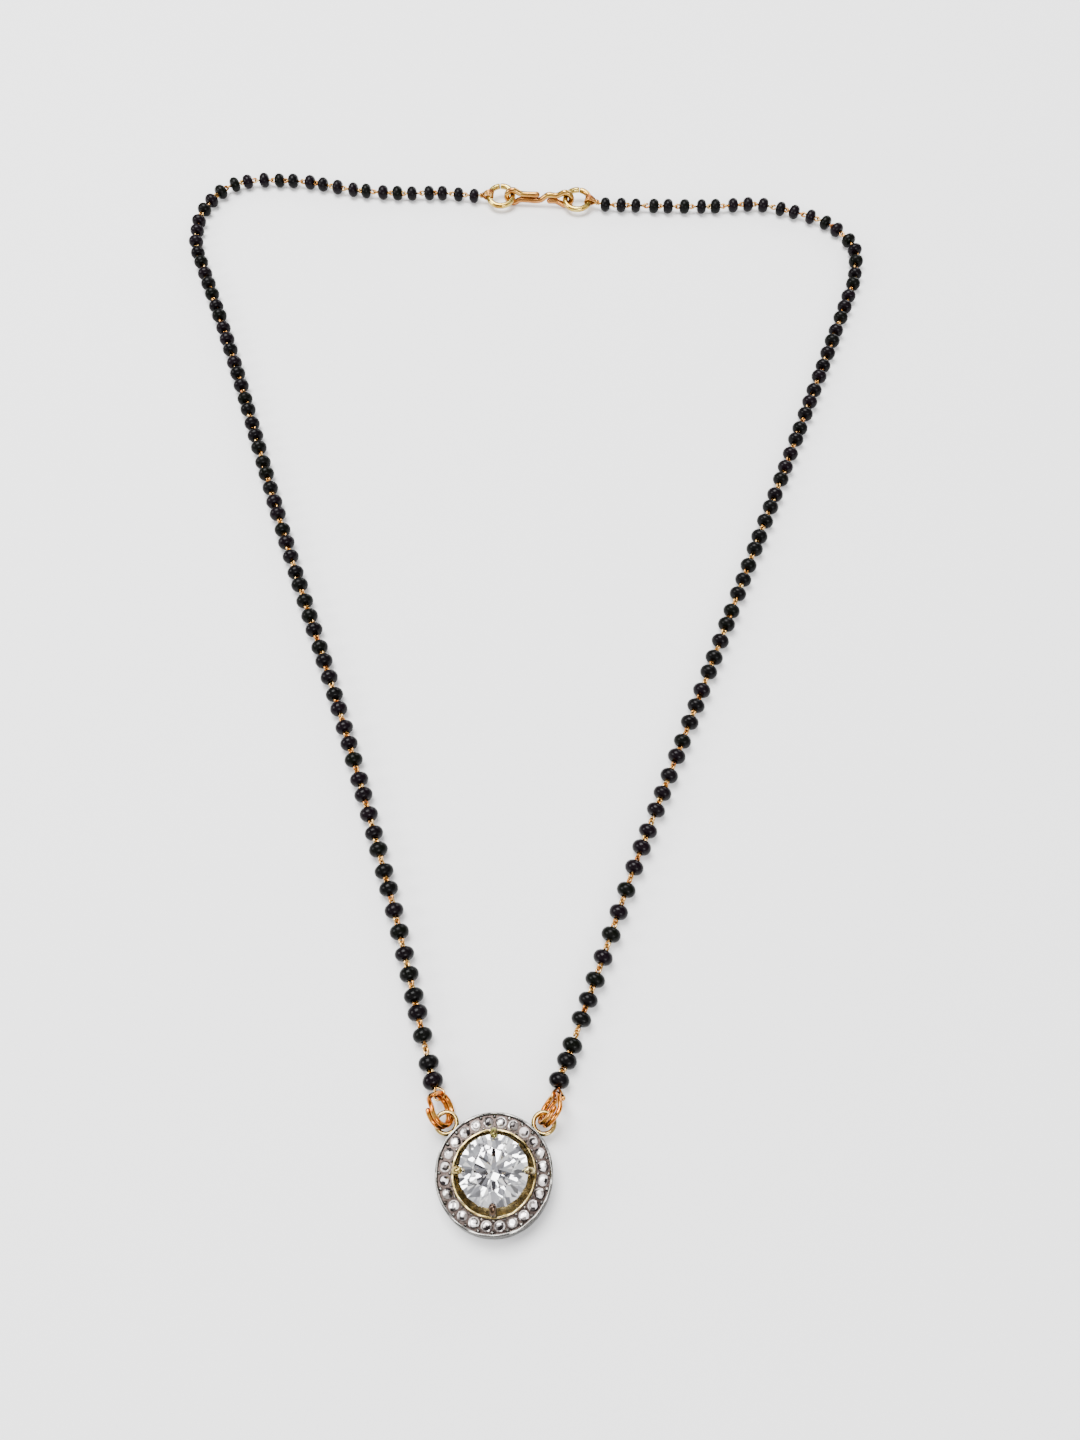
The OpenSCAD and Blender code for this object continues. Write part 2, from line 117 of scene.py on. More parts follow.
# How far the tail is coiled round the neck of each strand's clasp end
CLASP_COILS = {"left": 0.5, "right": 0.65}
# Space between wires that are wound side by side
WOUND_GAP = 0.01
# Radius and height over a small stone's girdle, as shares of its radius, of each ring of corners:
# the table, the middle of the crown, the girdle's top and its underside
STONE_RINGS = ((0.30, 0.47), (0.55, 0.46), (0.80, 0.30), (1.0, 0.12), (1.0, 0.0))
STONE_TABLE, STONE_CULET = 0.48, -0.8
# Painted reflection tones of facets that don't flash, flash faintly and flash, and how often each
# comes up
FLASH_TONES, FLASH_ODDS = (0.08, 0.5, 0.95), (0.38, 0.27, 0.35)
# Seeds of the small differences between like pieces
RIM_SEED, EDGE_SEED, GRAIN_SEED, STONE_SEED, FLASH_SEED = 3, 5, 11, 23, 31
BEAD_SEED, LINK_SEED = 41, 61

# Tones that a finish drifts between, and tones of painted shade and light
# Painted shade: the near-black grey of the channel floor under and between the small stones
CHANNEL_FLOOR_SHADE = (0.045, 0.034, 0.03)
TARNISHED_GOLD = (0.14, 0.10, 0.035)
BRIGHT_GOLD = (0.66, 0.58, 0.36)
# Painted shade: the darker gold deep in the bore under the centre stone
SHADED_BORE_GOLD = (0.28, 0.215, 0.10)
CLAW_TARNISH = (0.06, 0.035, 0.018)
# Claw tones from painted shade to painted light, picked by how pale each claw is painted
CLAW_LIGHT_STOPS = (
    (0.1, (0.085, 0.055, 0.04)), (0.35, (0.26, 0.24, 0.07)), (0.6, (0.36, 0.27, 0.09)),
    (0.9, (0.66, 0.55, 0.27)),
)
HOOK_TARNISH = (0.30, 0.12, 0.03)
GREEN_CAST = (0.0015, 0.002, 0.001)
PURPLE_CAST = (0.003, 0.001, 0.0025)
GLASS_BLOOM = (0.004, 0.003, 0.0035)
# Painted reflections of the small stones' facets: the darkest and the brightest tone
STONE_DARK_REFLECTION = (0.022, 0.016, 0.015)
STONE_FLASH = (0.95, 0.88, 0.86)
ZIRCONIA_IOR = 2.15
# Each plating's tarnished tone, its pale tone and the size of its blots in millimetres
PLATINGS = {
    "grain_metal": ((0.06, 0.045, 0.035), (0.60, 0.57, 0.52), 0.9),
    "loop_gold": ((0.13, 0.08, 0.02), (0.55, 0.42, 0.17), 1.2),
    "ring_gold": ((0.13, 0.022, 0.006), (0.60, 0.30, 0.06), 1.8),
    "wire_gold": ((0.22, 0.065, 0.02), (0.62, 0.44, 0.18), 1.5),
    "clasp_gold": ((0.24, 0.10, 0.015), (0.60, 0.46, 0.13), 2.2),
}

# The camera found from the photograph: its place in metres, its tilt from straight down and its
# focal length and sensor in millimetres
CAMERA_AT = (0.00526, -0.0194, 0.148)
CAMERA_TILT = math.radians(28.27)
FOCAL_LENGTH = 30.05
SENSOR_WIDTH = 36.0
NEAREST = 0.005
# Soft square lamps: name, place and width in metres, power in watts, and the point that they face
LAMPS = (
    ("overhead", (-0.12, 0.25, 0.60), 0.36, 9.0),
    ("left", (-0.60, 0.00, 0.35), 0.25, 3.0),
    ("front", (0.25, -0.55, 0.40), 0.25, 3.0),
    ("back", (0.35, 0.70, 0.30), 0.30, 3.0),
)
LAMP_AIM = (0.0, 0.05, 0.0)
# Half the floor's width and how far it lies below the pieces, in metres
FLOOR_REACH = 3.0
FLOOR_DROP = 0.00003
# The room overhead: how fine its light and dark panels are, their tones, the plain tone below
# them, the heights on a sphere between which that gives way to them, and how bright the room is
PANEL_SCALE = 2.6
PANEL_TONES = (
    (0.40, (0.04, 0.04, 0.045)), (0.48, (0.30, 0.30, 0.33)), (0.54, (0.50, 0.51, 0.53)),
    (0.60, (1.0, 0.98, 0.96)),
)
PLAIN_WALL = (0.42, 0.42, 0.43)
PANELS_FROM, PANELS_FULL = 0.34, 0.52
ROOM_LIGHT = 1.9


# Sizes and colours


def length(name, description, millimetres):
    """A length that a user may change, kept in metres."""
    return bpy.props.FloatProperty(
        name=name, description=description, default=millimetres * MM, min=0.0,
        precision=5, unit="LENGTH",
    )


def angle(name, description, degrees):
    """An angle that a user may change."""
    return bpy.props.FloatProperty(
        name=name, description=description, default=math.radians(degrees), subtype="ANGLE",
        unit="ROTATION",
    )


def colour(name, description, value):
    """A colour that a user may change."""
    return bpy.props.FloatVectorProperty(
        name=name, description=description, default=(*value, 1.0), size=4, min=0.0, max=1.0,
        subtype="COLOR",
    )


class PendantSizes(bpy.types.PropertyGroup):
    """Sizes of the halo, its claws and its stones."""

    stone: length(
        "Centre stone", "Diameter of the centre stone", (STONE_BOX[1][0] - STONE_BOX[0][0]) / MM
    )
    halo_height: length("Halo height", "Height of the raised rims over the flat back", 3.0)
    stone_lift: length("Stone lift", "Height of the centre stone's girdle over the rims", 1.6)
    stone_gap: length("Stone gap", "Space between the centre stone and the halo", 0.6)
    inner_rim: length("Inner rim", "Width of the rim beside the centre stone", 0.25)
    channel: length("Channel", "Width of the channel of small stones", 1.6)
    outer_rim: length("Outer rim", "Width of the rim at the outside", 0.3)
    channel_depth: length("Channel depth", "Depth of the channel below the rims", 0.35)
    small_stone: length("Small stones", "Diameter of each small stone", 1.3)
    cup_rise: length("Cup", "Height at which the cup under the stone begins to narrow", 1.5)
    cup_hole: length("Cup hole", "Diameter of the opening in the cup", 4.4)
    cup_edge: length("Cup edge", "Height of the edge round the cup's opening", 0.4)
    claw: length("Claw", "Diameter of each claw", 0.88)
    loop: length("Side loop", "Outer diameter of the two soldered side loops", 3.0)
    loop_wire: length("Side loop wire", "Diameter of the side loops' wire", 0.55)
    ring: length("Double ring", "Outer diameter of the double rings", 4.4)
    ring_wire: length("Double ring wire", "Diameter of the double rings' wire", 0.58)
    left_lean: angle("Left ring lean", "How steeply the left double ring stands", 56)
    right_lean: angle("Right ring lean", "How steeply the right double ring stands", 70)


class StrandSizes(bpy.types.PropertyGroup):
    """Sizes of the beads and of the wire that links them."""

    bead: length("Bead", "Diameter of each bead", 2.5)
    bead_length: length("Bead length", "Length of each bead along the wire", 1.75)
    bore: length("Bead hole", "Diameter of the hole through each bead", 0.7)
    left_gap: length("Left spacing", "Space between two beads of the left strand", 1.02)
    right_gap: length("Right spacing", "Space between two beads of the right strand", 1.12)
    wire: length("Wire", "Diameter of the wire of the links", 0.32)
    link_width: length("Link width", "Width across a small link, between its wires' middles", 0.64)
    end_eye: length("End eye", "Diameter of the eyes at a strand's ends, to mid-wire", 1.9)
    slack: length("Slack", "How far a bead may have slid along its wire", 0.2)


class ClaspSizes(bpy.types.PropertyGroup):
    """Sizes of the clasp rings and the S-hook."""

    ring: length("Clasp ring", "Outer diameter of the two clasp rings", 5.3)
    ring_wire: length("Clasp ring wire", "Diameter of the clasp rings' wire", 1.0)
    slit: length("Butt joint", "Width of the butt joint in each clasp ring", 0.12)
    span: length("Span", "Distance between the clasp rings' centres", 13.8)
    hook_wire: length("Hook wire", "Diameter of the S-hook's wire", 1.0)
    run_gap: length("Run spacing", "Distance between the two runs of the S-hook", 1.05)


class FinishColours(bpy.types.PropertyGroup):
    """Colours of the metals, the stones and the glass."""

    # The halo's wall gets this colour darkened as painted shade; the rims' tops show it in full as
    # painted light
    silver: colour("Setting", "Pale metal of the halo's wall and outer rim", (0.16, 0.155, 0.145))
    pale_gold: colour("Pale gold", "Gold of the inner rim and the cup", (0.44, 0.33, 0.13))
    red_gold: colour("Red gold", "Reddish gold of the double rings", (0.44, 0.13, 0.012))
    loop_gold: colour("Loop gold", "Gold of the side loops", (0.34, 0.23, 0.07))
    wire_gold: colour("Wire gold", "Gold of the links between the beads", (0.46, 0.22, 0.05))
    clasp_gold: colour("Clasp gold", "Yellow gold of the clasp rings", (0.44, 0.28, 0.055))
    # Painted light and shade on one wire: the S-hook's upper run painted lit and yellow, its lower
    # run shaded and rosy
    hook_lit_gold: colour("Hook gold", "Yellow gold of the S-hook's upper run", (0.46, 0.27, 0.06))
    hook_shaded_rose: colour("Hook rose", "Rosy gold of the S-hook's lower run", (0.44, 0.19, 0.06))
    black: colour("Black glass", "Glass of the beads", (0.0015, 0.0013, 0.0015))
    champagne: colour("Small stones", "Tint of the small stones", (0.55, 0.48, 0.45))
    floor: colour("Floor", "Plain pale floor", (0.93, 0.93, 0.93))


def in_mm(group):
    """The group's lengths in millimetres and its angles in radians, under their own names."""
    found = {}
    for key, prop in group.bl_rna.properties.items():
        if prop.type == "FLOAT":
            value = getattr(group, key)
            found[key] = value / MM if prop.unit == "LENGTH" else value
    return SimpleNamespace(**found)


def sizes_of(context):
    """All sizes, with the radii and heights that follow from them as in the solids."""
    scene = context.scene
    pendant, strand, clasp = (
        in_mm(scene.mangalsutra_pendant), in_mm(scene.mangalsutra_strand),
        in_mm(scene.mangalsutra_clasp),
    )
    pendant.girdle_z = pendant.halo_height + pendant.stone_lift
    pendant.bore_r = pendant.stone / 2 + pendant.stone_gap
    pendant.channel_in = pendant.bore_r + pendant.inner_rim
    pendant.channel_out = pendant.channel_in + pendant.channel
    pendant.halo_r = pendant.channel_out + pendant.outer_rim
    pendant.channel_z = pendant.halo_height - pendant.channel_depth
    pendant.loop_at = pendant.halo_r + pendant.loop / 2 - SOLDER
    pendant.loop_z = pendant.halo_height / 2
    pendant.ring_r = (pendant.ring - pendant.ring_wire) / 2
    pendant.ring_pitch = pendant.ring_wire + FIT
    strand.z = strand.bead / 2
    strand.eye_r = strand.end_eye / 2
    clasp.ring_r = (clasp.ring - clasp.ring_wire) / 2
    clasp.hook_r = (clasp.ring_wire + clasp.hook_wire) / 2 + 3 * FIT
    clasp.hook_z = (clasp.hook_r + clasp.hook_wire / 2) * math.cos(HOOK_LEAN) + FIT
    clasp.ring_z = max(
        clasp.ring_r * math.sin(CLASP_RING_TILT) + clasp.ring_wire / 2, clasp.hook_z - FIT
    )
    return pendant, strand, clasp


# Shapes


def unit(vectors):
    """Each vector divided by its own length."""
    return vectors / np.linalg.norm(vectors, axis=-1, keepdims=True)


def spline(points, steps):
    """Catmull-Rom curve: between b and c, with neighbours a and d, it is half of
    2b + (c-a)t + (2a-5b+4c-d)t^2 + (3b-a-3c+d)t^3, and its ends are kept."""
    p = np.asarray(points, float)
    first = np.arange(len(p) - 1)
    a, b, c, d = (
        p[np.clip(first + shift, 0, len(p) - 1)][:, None] for shift in (-1, 0, 1, 2)
    )
    t = (np.arange(steps) / steps)[None, :, None]
    curve = (
        2 * b + (c - a) * t + (2 * a - 5 * b + 4 * c - d) * t ** 2
        + (3 * b - a - 3 * c + d) * t ** 3
    ) / 2
    return np.vstack([curve.reshape(-1, p.shape[1]), p[-1:]])


def lattice(points, ring=False, poles=None):
    """Faces over a grid of points (copies, rows, columns). Columns always close on themselves.
    Rows close too where ring is true; otherwise a fan joins each end row to its pole."""
    copies, rows, columns = points.shape[:3]
    row = np.arange(rows if ring else rows - 1)[:, None]
    column = np.arange(columns)[None, :]
    beside = (column + 1) % columns
    above = (row + 1) % rows
    quads = np.stack(
        [row * columns + column, row * columns + beside, above * columns + beside,
         above * columns + column], axis=-1
    ).reshape(-1, 4)
    vertices = points.reshape(copies, -1, 3)
    fans = np.zeros((0, 3), int)
    if poles is not None:
        start, end = np.full(columns, rows * columns), np.full(columns, rows * columns + 1)
        last = (rows - 1) * columns
        fans = np.vstack([
            np.stack([start, beside[0], column[0]], axis=-1),
            np.stack([end, last + column[0], last + beside[0]], axis=-1),
        ])
        vertices = np.concatenate([vertices, poles], axis=1)
    shift = (np.arange(copies) * vertices.shape[1])[:, None, None]
    return outward(
        vertices.reshape(-1, 3), (quads + shift).reshape(-1, 4), (fans + shift).reshape(-1, 3)
    )


def outward(vertices, quads, fans):
    """Turns all faces round when the volume that they enclose comes out negative: the sum over
    triangles of a . (b x c)."""
    triangles = np.vstack([quads[:, :3], quads[:, [0, 2, 3]], fans])
    a, b, c = (vertices[triangles[:, k]] for k in range(3))
    if np.sum(a * np.cross(b, c)) < 0:
        quads, fans = quads[:, ::-1], fans[:, ::-1]
    return vertices, quads, fans


def joined(*surfaces):
    """Several surfaces as one."""
    starts = np.cumsum([0] + [len(s[0]) for s in surfaces])
    return tuple(
        np.vstack([s[k] + (0 if k == 0 else start) for s, start in zip(surfaces, starts)])
        for k in range(3)
    )


def wire(path, radius, sides, normal, closed=False, domed=True):
    """Round wire along each path (copies, points, 3): each ring is the path's point plus the
    radius times cos a * side + sin a * over, where side is square to the path and to normal, and
    over to side and the path. Domed ends add rings of radius * cos b, moved out by
    radius * sin b."""
    path = np.asarray(path, float)
    path = path[None] if path.ndim == 2 else path
    copies, count = path.shape[:2]
    radius = np.broadcast_to(np.asarray(radius, float), (copies, count))
    normal = np.broadcast_to(np.asarray(normal, float), path.shape)
    if closed:
        along = unit(np.roll(path, -1, axis=1) - np.roll(path, 1, axis=1))
    else:
        along = unit(
            np.concatenate([path[:, 1:], path[:, -1:]], axis=1)
            - np.concatenate([path[:, :1], path[:, :-1]], axis=1)
        )
    poles = None
    if not closed:
        poles = np.stack([path[:, 0], path[:, -1]], axis=1)
    if not closed and domed:
        bend = np.radians([76, 50, 25])
        rings = len(bend)
        first = path[:, :1] - along[:, :1] * radius[:, :1, None] * np.sin(bend)[None, :, None]
        final = (path[:, -1:]
                 + along[:, -1:] * radius[:, -1:, None] * np.sin(bend)[None, ::-1, None])
        poles = np.stack([path[:, 0] - along[:, 0] * radius[:, :1],
                          path[:, -1] + along[:, -1] * radius[:, -1:]], axis=1)
        path = np.concatenate([first, path, final], axis=1)
        radius = np.concatenate([radius[:, :1] * np.cos(bend), radius,
                                 radius[:, -1:] * np.cos(bend)[::-1]], axis=1)
        along, normal = (
            np.concatenate([v[:, :1].repeat(rings, 1), v, v[:, -1:].repeat(rings, 1)], axis=1)
            for v in (along, normal)
        )
    side = unit(np.cross(normal, along))
    over = np.cross(along, side)
    turn = np.linspace(0, 2 * math.pi, sides, endpoint=False)[None, None, :, None]
    grid = path[:, :, None] + radius[:, :, None, None] * (
        np.cos(turn) * side[:, :, None] + np.sin(turn) * over[:, :, None]
    )
    return lattice(grid, ring=closed, poles=poles)


def rounded_loop(corners, radii):
    """A closed profile whose corners are drawn as short parabolas: from corner c towards its
    neighbours a and b by its radius, (1-t)^2 a' + 2t(1-t) c + t^2 b', with a plain point a
    little further out on each side that keeps the flats flat."""
    c = np.asarray(corners, float)
    r = np.asarray(radii, float)[:, None]
    before, after = unit(np.roll(c, 1, axis=0) - c), unit(np.roll(c, -1, axis=0) - c)
    t = np.linspace(0, 1, 5)[None, :, None]
    a, b = (c + r * before)[:, None], (c + r * after)[:, None]
    bend = (1 - t) ** 2 * a + 2 * t * (1 - t) * c[:, None] + t ** 2 * b
    wide = 1.4 * r
    return np.concatenate(
        [(c + wide * before)[:, None], bend, (c + wide * after)[:, None]], axis=1
    ).reshape(-1, 2)


def ripple(a, seed, waves=(3, 5, 8, 13)):
    """Hand-made unevenness round a circle, within 1: a sum of sines of a few whole numbers of
    waves with fixed phases."""
    phases = np.random.default_rng(seed).uniform(0, 2 * math.pi, len(waves))
    return sum(np.sin(n * a + p) for n, p in zip(waves, phases)) / len(waves)


def polar(radius, a, z):
    """Points at radius and angle about the Z axis."""
    radius, a, z = np.broadcast_arrays(radius, a, z)
    return np.stack([radius * np.cos(a), radius * np.sin(a), z], axis=-1)


# Finishes


class Value:
    """A number socket that takes part in formulas: each operator adds its Math node."""

    def __init__(self, nodes, socket):
        self.nodes, self.socket = nodes, socket

    def math(self, operation, *operands, clamp=False):
        """The Math node of this operation on the operands."""
        node = self.nodes.add(
            "ShaderNodeMath", {"operation": operation, "use_clamp": clamp},
            dict(enumerate(operands)),
        )
        return Value(self.nodes, node.outputs[0])

    def __add__(self, other):
        return self.math("ADD", self, other)

    def __radd__(self, other):
        return self.math("ADD", other, self)

    def __sub__(self, other):
        return self.math("SUBTRACT", self, other)

    def __rsub__(self, other):
        return self.math("SUBTRACT", other, self)

    def __mul__(self, other):
        return self.math("MULTIPLY", self, other)

    def __rmul__(self, other):
        return self.math("MULTIPLY", other, self)

    def __truediv__(self, other):
        return self.math("DIVIDE", self, other)

    def __pow__(self, other):
        return self.math("POWER", self, other)

    def held(self):
        """Kept between 0 and 1."""
        return self.math("ADD", self, 0.0, clamp=True)

    def step(self, low, high):
        """0 below low, 1 above high, and even between them."""
        return ((self - low) / (high - low)).held()


class Nodes:
    """A node tree, to which one method adds every node."""

    def __init__(self, tree):
        self.tree = tree

    def add(self, kind, settings=None, inputs=None):
        """A node of this kind: its settings are set first, then its sockets' values or links."""
        node = self.tree.nodes.new(kind)
        for key, value in (settings or {}).items():
            if key == "stops":
                ramp = node.color_ramp
                while len(ramp.elements) < len(value):
                    ramp.elements.new(0.5)
                for element, (position, tone) in zip(ramp.elements, value):
                    element.position = position
                    element.color = opaque(tone)
            else:
                setattr(node, key, value)
        for key, value in (inputs or {}).items():
            self.put(node.inputs[key], value)
        return node

    def put(self, socket, value):
        """Links the socket to a value or an output, or gives it a constant."""
        if isinstance(value, Value):
            value = value.socket
        if isinstance(value, bpy.types.NodeSocket):
            self.tree.links.new(value, socket)
        else:
            socket.default_value = value

    def parts_of(self, vector):
        """A vector's x, y and z."""
        split = self.add("ShaderNodeSeparateXYZ", {}, {"Vector": vector})
        return [Value(self, split.outputs[k]) for k in range(3)]

    def ramp(self, value, *stops):
        """A colour looked up by a value."""
        node = self.add("ShaderNodeValToRGB", {"stops": stops}, {"Fac": value})
        return node.outputs["Color"]

    def blend(self, factor, first, second):
        """A colour between two, by a factor. A Mix node takes its colours at 6 and 7."""
        first, second = (c if isinstance(c, bpy.types.NodeSocket) else opaque(c)
                         for c in (first, second))
        node = self.add(
            "ShaderNodeMix", {"data_type": "RGBA"}, {0: factor, 6: first, 7: second}
        )
        return node.outputs[2]


class Finish(Nodes):
    """A material of procedural nodes round one Principled shader."""

    def __init__(self, name, **constants):
        self.material = bpy.data.materials.new(name)
        self.material.use_nodes = True
        super().__init__(self.material.node_tree)
        self.tree.nodes.clear()
        self.shader = self.add("ShaderNodeBsdfPrincipled", {}, constants)
        self.add("ShaderNodeOutputMaterial", {}, {"Surface": self.shader.outputs[0]})
        self.place = self.add("ShaderNodeTexCoord").outputs["Object"]

    def set(self, **inputs):
        """Feeds the Principled shader's sockets, with _ for a space in their names, and gives
        the finished material."""
        for key, value in inputs.items():
            self.put(self.shader.inputs[key.replace("_", " ")], value)
        return self.material

    def noise(self, size_mm, detail=3.0, warp=0.0):
        """Noise on the piece's own coordinates, with blots of about this size."""
        node = self.add(
            "ShaderNodeTexNoise", {},
            {"Vector": self.place, "Scale": 1 / (size_mm * MM), "Detail": detail,
             "Roughness": 0.55, "Distortion": warp},
        )
        return Value(self, node.outputs["Fac"])

    def axes(self):
        """The place's x, y and z in millimetres."""
        return [part * (1 / MM) for part in self.parts_of(self.place)]

    def mark(self, name):
        """A number kept on the mesh."""
        node = self.add("ShaderNodeAttribute", {"attribute_name": name})
        return Value(self, node.outputs["Fac"])

    def bump(self, height, depth_mm):
        """Normal of a height from 0 to 1 that is this deep."""
        node = self.add("ShaderNodeBump", {}, {"Height": height, "Distance": depth_mm * MM})
        return node.outputs["Normal"]

    def drawn(self):
        """Roughness and normal of plated wire, from the faint marks of its drawing."""
        fine = self.noise(0.25, detail=2.0)
        return {"Roughness": 0.12 + 0.16 * fine.step(0.35, 0.8), "Normal": self.bump(fine, 0.012)}


def opaque(tone):
    """A colour's red, green and blue with full alpha."""
    return (*tuple(tone)[:3], 1.0)


def shade(tone, factor):
    """A colour made darker by a factor."""
    return [part * factor for part in tuple(tone)[:3]]


def polished_gold(name, base):
    """Plated wire: its colour drifts in blots between the tones of its plating."""
    dark, pale, blot_mm = PLATINGS[name]
    finish = Finish(name, **{"Metallic": 1.0})
    drift = finish.noise(blot_mm, detail=4.0, warp=0.6)
    return finish.set(
        Base_Color=finish.ramp(drift, (0.30, dark), (0.47, base), (0.66, pale)),
        **finish.drawn(),
    )


def halo_metal(pendant, colours):
    """The halo: pale metal outside, with painted shade on its wall and the full colour, as painted
    light, on its rims' tops; a gold inner rim and bore with painted shade deep in the bore; and a
    channel floor painted near-black as shade under the small stones.
    """
    finish = Finish("halo_metal", **{"Metallic": 1.0, "Specular Tint": (0.4, 0.39, 0.37, 1.0)})
    x, y, z = finish.axes()
    radius = (x * x + y * y) ** 0.5
    worn = finish.noise(1.8, detail=4.0, warp=0.4)
    fine = finish.noise(0.3, detail=3.0)
    # Painted shade: the wall takes a fifth to a half of the setting's colour, darker than the
    # rims' tops
    silver = finish.ramp(
        worn, (0.25, shade(colours.silver, 0.2)), (0.5, shade(colours.silver, 0.35)),
        (0.75, shade(colours.silver, 0.55)),
    )
    gold = finish.ramp(
        worn, (0.3, TARNISHED_GOLD), (0.5, colours.pale_gold), (0.7, BRIGHT_GOLD),
    )
    inner = 1 - radius.step(pendant.channel_in - 0.02, pendant.channel_in + 0.06)
    # Painted shade: the channel floor, under and between the small stones, turns near-black grey
    floor = (
        radius.step(pendant.channel_in - 0.05, pendant.channel_in + 0.05)
        * (1 - radius.step(pendant.channel_out - 0.05, pendant.channel_out + 0.05))
        * (1 - z.step(pendant.channel_z + 0.05, pendant.channel_z + 0.2))
    )
    # Painted shade: the bore's gold darkens from just under the rim to 1.4 mm down
    deep = 1 - z.step(pendant.halo_height - 1.4, pendant.halo_height - 0.15)
    # Painted light: the rims' tops keep the setting's full colour, paler than the wall
    rim = z.step(pendant.halo_height - 0.10, pendant.halo_height - 0.03)
    wall = finish.blend(rim, silver, colours.silver)
    metal = finish.blend(inner, wall, finish.blend(deep, gold, SHADED_BORE_GOLD))
    return finish.set(
        Base_Color=finish.blend(floor, metal, CHANNEL_FLOOR_SHADE),
        Roughness=0.14 + 0.2 * fine.step(0.4, 0.8),
        Normal=finish.bump(worn * 0.7 + fine * 0.3, 0.02),
    )


def claw_metal():
    """The claws' gold: tarnish in blots, and elsewhere painted light and shade, each claw painted
    from dark red over olive to pale by its mark.
    """
    finish = Finish("claw_metal", **{"Metallic": 1.0})
    worn = finish.noise(1.1, detail=4.0, warp=0.5)
    # Painted light and shade: each claw's mark picks how lit its gold is painted
    tint = finish.ramp(finish.mark("own"), *CLAW_LIGHT_STOPS)
    return finish.set(
        Base_Color=finish.blend(worn.step(0.36, 0.5), CLAW_TARNISH, tint),
        Roughness=0.14 + 0.14 * worn.step(0.4, 0.8),
    )


def hook_metal(colours, clasp):
    """The S-hook's plating: painted lit and yellow on its upper run, painted shaded and rosy on
    the lower one, by height.
    """
    finish = Finish("hook_metal", **{"Metallic": 1.0})
    drift = finish.noise(2.2, detail=4.0, warp=0.6)
    # Painted light and shade by height: the upper run lit and yellow, the lower one shaded and
    # rosy
    high = finish.axes()[2].step(clasp.hook_z - 0.3, clasp.hook_z + 0.5)
    tone = finish.blend(high, colours.hook_shaded_rose, colours.hook_lit_gold)
    return finish.set(
        Base_Color=finish.blend(drift.step(0.34, 0.6), HOOK_TARNISH, tone), **finish.drawn(),
    )


def black_glass(colours):
    """Pressed black glass: nearly opaque, a soft gloss, and a faint purple or green cast that
    changes from bead to bead."""
    finish = Finish("black_glass", **{"IOR": 1.45, "Coat Roughness": 0.06,
                                       "Specular IOR Level": 0.08})
    own = finish.mark("own")
    cloud = finish.noise(0.8, detail=3.0)
    cast = finish.ramp(own, (0.15, GREEN_CAST), (0.5, colours.black), (0.85, PURPLE_CAST))
    return finish.set(
        Base_Color=finish.blend(cloud.step(0.45, 0.75) * 0.5, cast, GLASS_BLOOM),
        Roughness=0.17 + 0.15 * cloud.step(0.4, 0.7),
        Coat_Weight=0.06 * own,
        Normal=finish.bump(cloud, 0.03),
    )


def small_stone(tint):
    """Small cut stones over metal: each facet carries a painted reflection, a dark, middling or
    bright tone by its mark.
    """
    finish = Finish("small_stone", **{"IOR": ZIRCONIA_IOR, "Coat Roughness": 0.02})
    # Painted reflection: each facet's flash mark picks its tone
    flash = finish.mark("flash")
    return finish.set(
        Base_Color=finish.ramp(
            flash, (0.26, STONE_DARK_REFLECTION), (0.5, shade(tint, 0.45)), (0.78, STONE_FLASH)
        ),
        Metallic=0.75 - 0.5 * flash,
        Roughness=0.08 + 0.1 * flash,
        Coat_Weight=0.25 + 0.3 * flash,
    )


def clear_stone():
    """Clear cut stone, refracting as zirconia does."""
    return Finish("clear_stone", **{"IOR": ZIRCONIA_IOR, "Transmission Weight": 1.0}).set(
        Base_Color=opaque((1.0, 1.0, 1.0)), Roughness=0.0,
    )


def studio():
    """The room that metals and stones reflect: light and dark panels overhead, and one plain
    tone below them."""
    world = bpy.data.worlds.new("studio")
    world.use_nodes = True
    room = Nodes(world.node_tree)
    direction = room.add("ShaderNodeTexCoord").outputs["Generated"]
    panels = room.add(
        "ShaderNodeTexNoise", {}, {"Vector": direction, "Scale": PANEL_SCALE, "Detail": 1.0}
    )
    height = room.parts_of(direction)[2]
    tone = room.blend(
        height.step(PANELS_FROM, PANELS_FULL), PLAIN_WALL,
        room.ramp(panels.outputs["Fac"], *PANEL_TONES),
    )
    background = room.tree.nodes["Background"]
    room.put(background.inputs["Color"], tone)
    room.put(background.inputs["Strength"], ROOM_LIGHT)
    return world


# Pieces


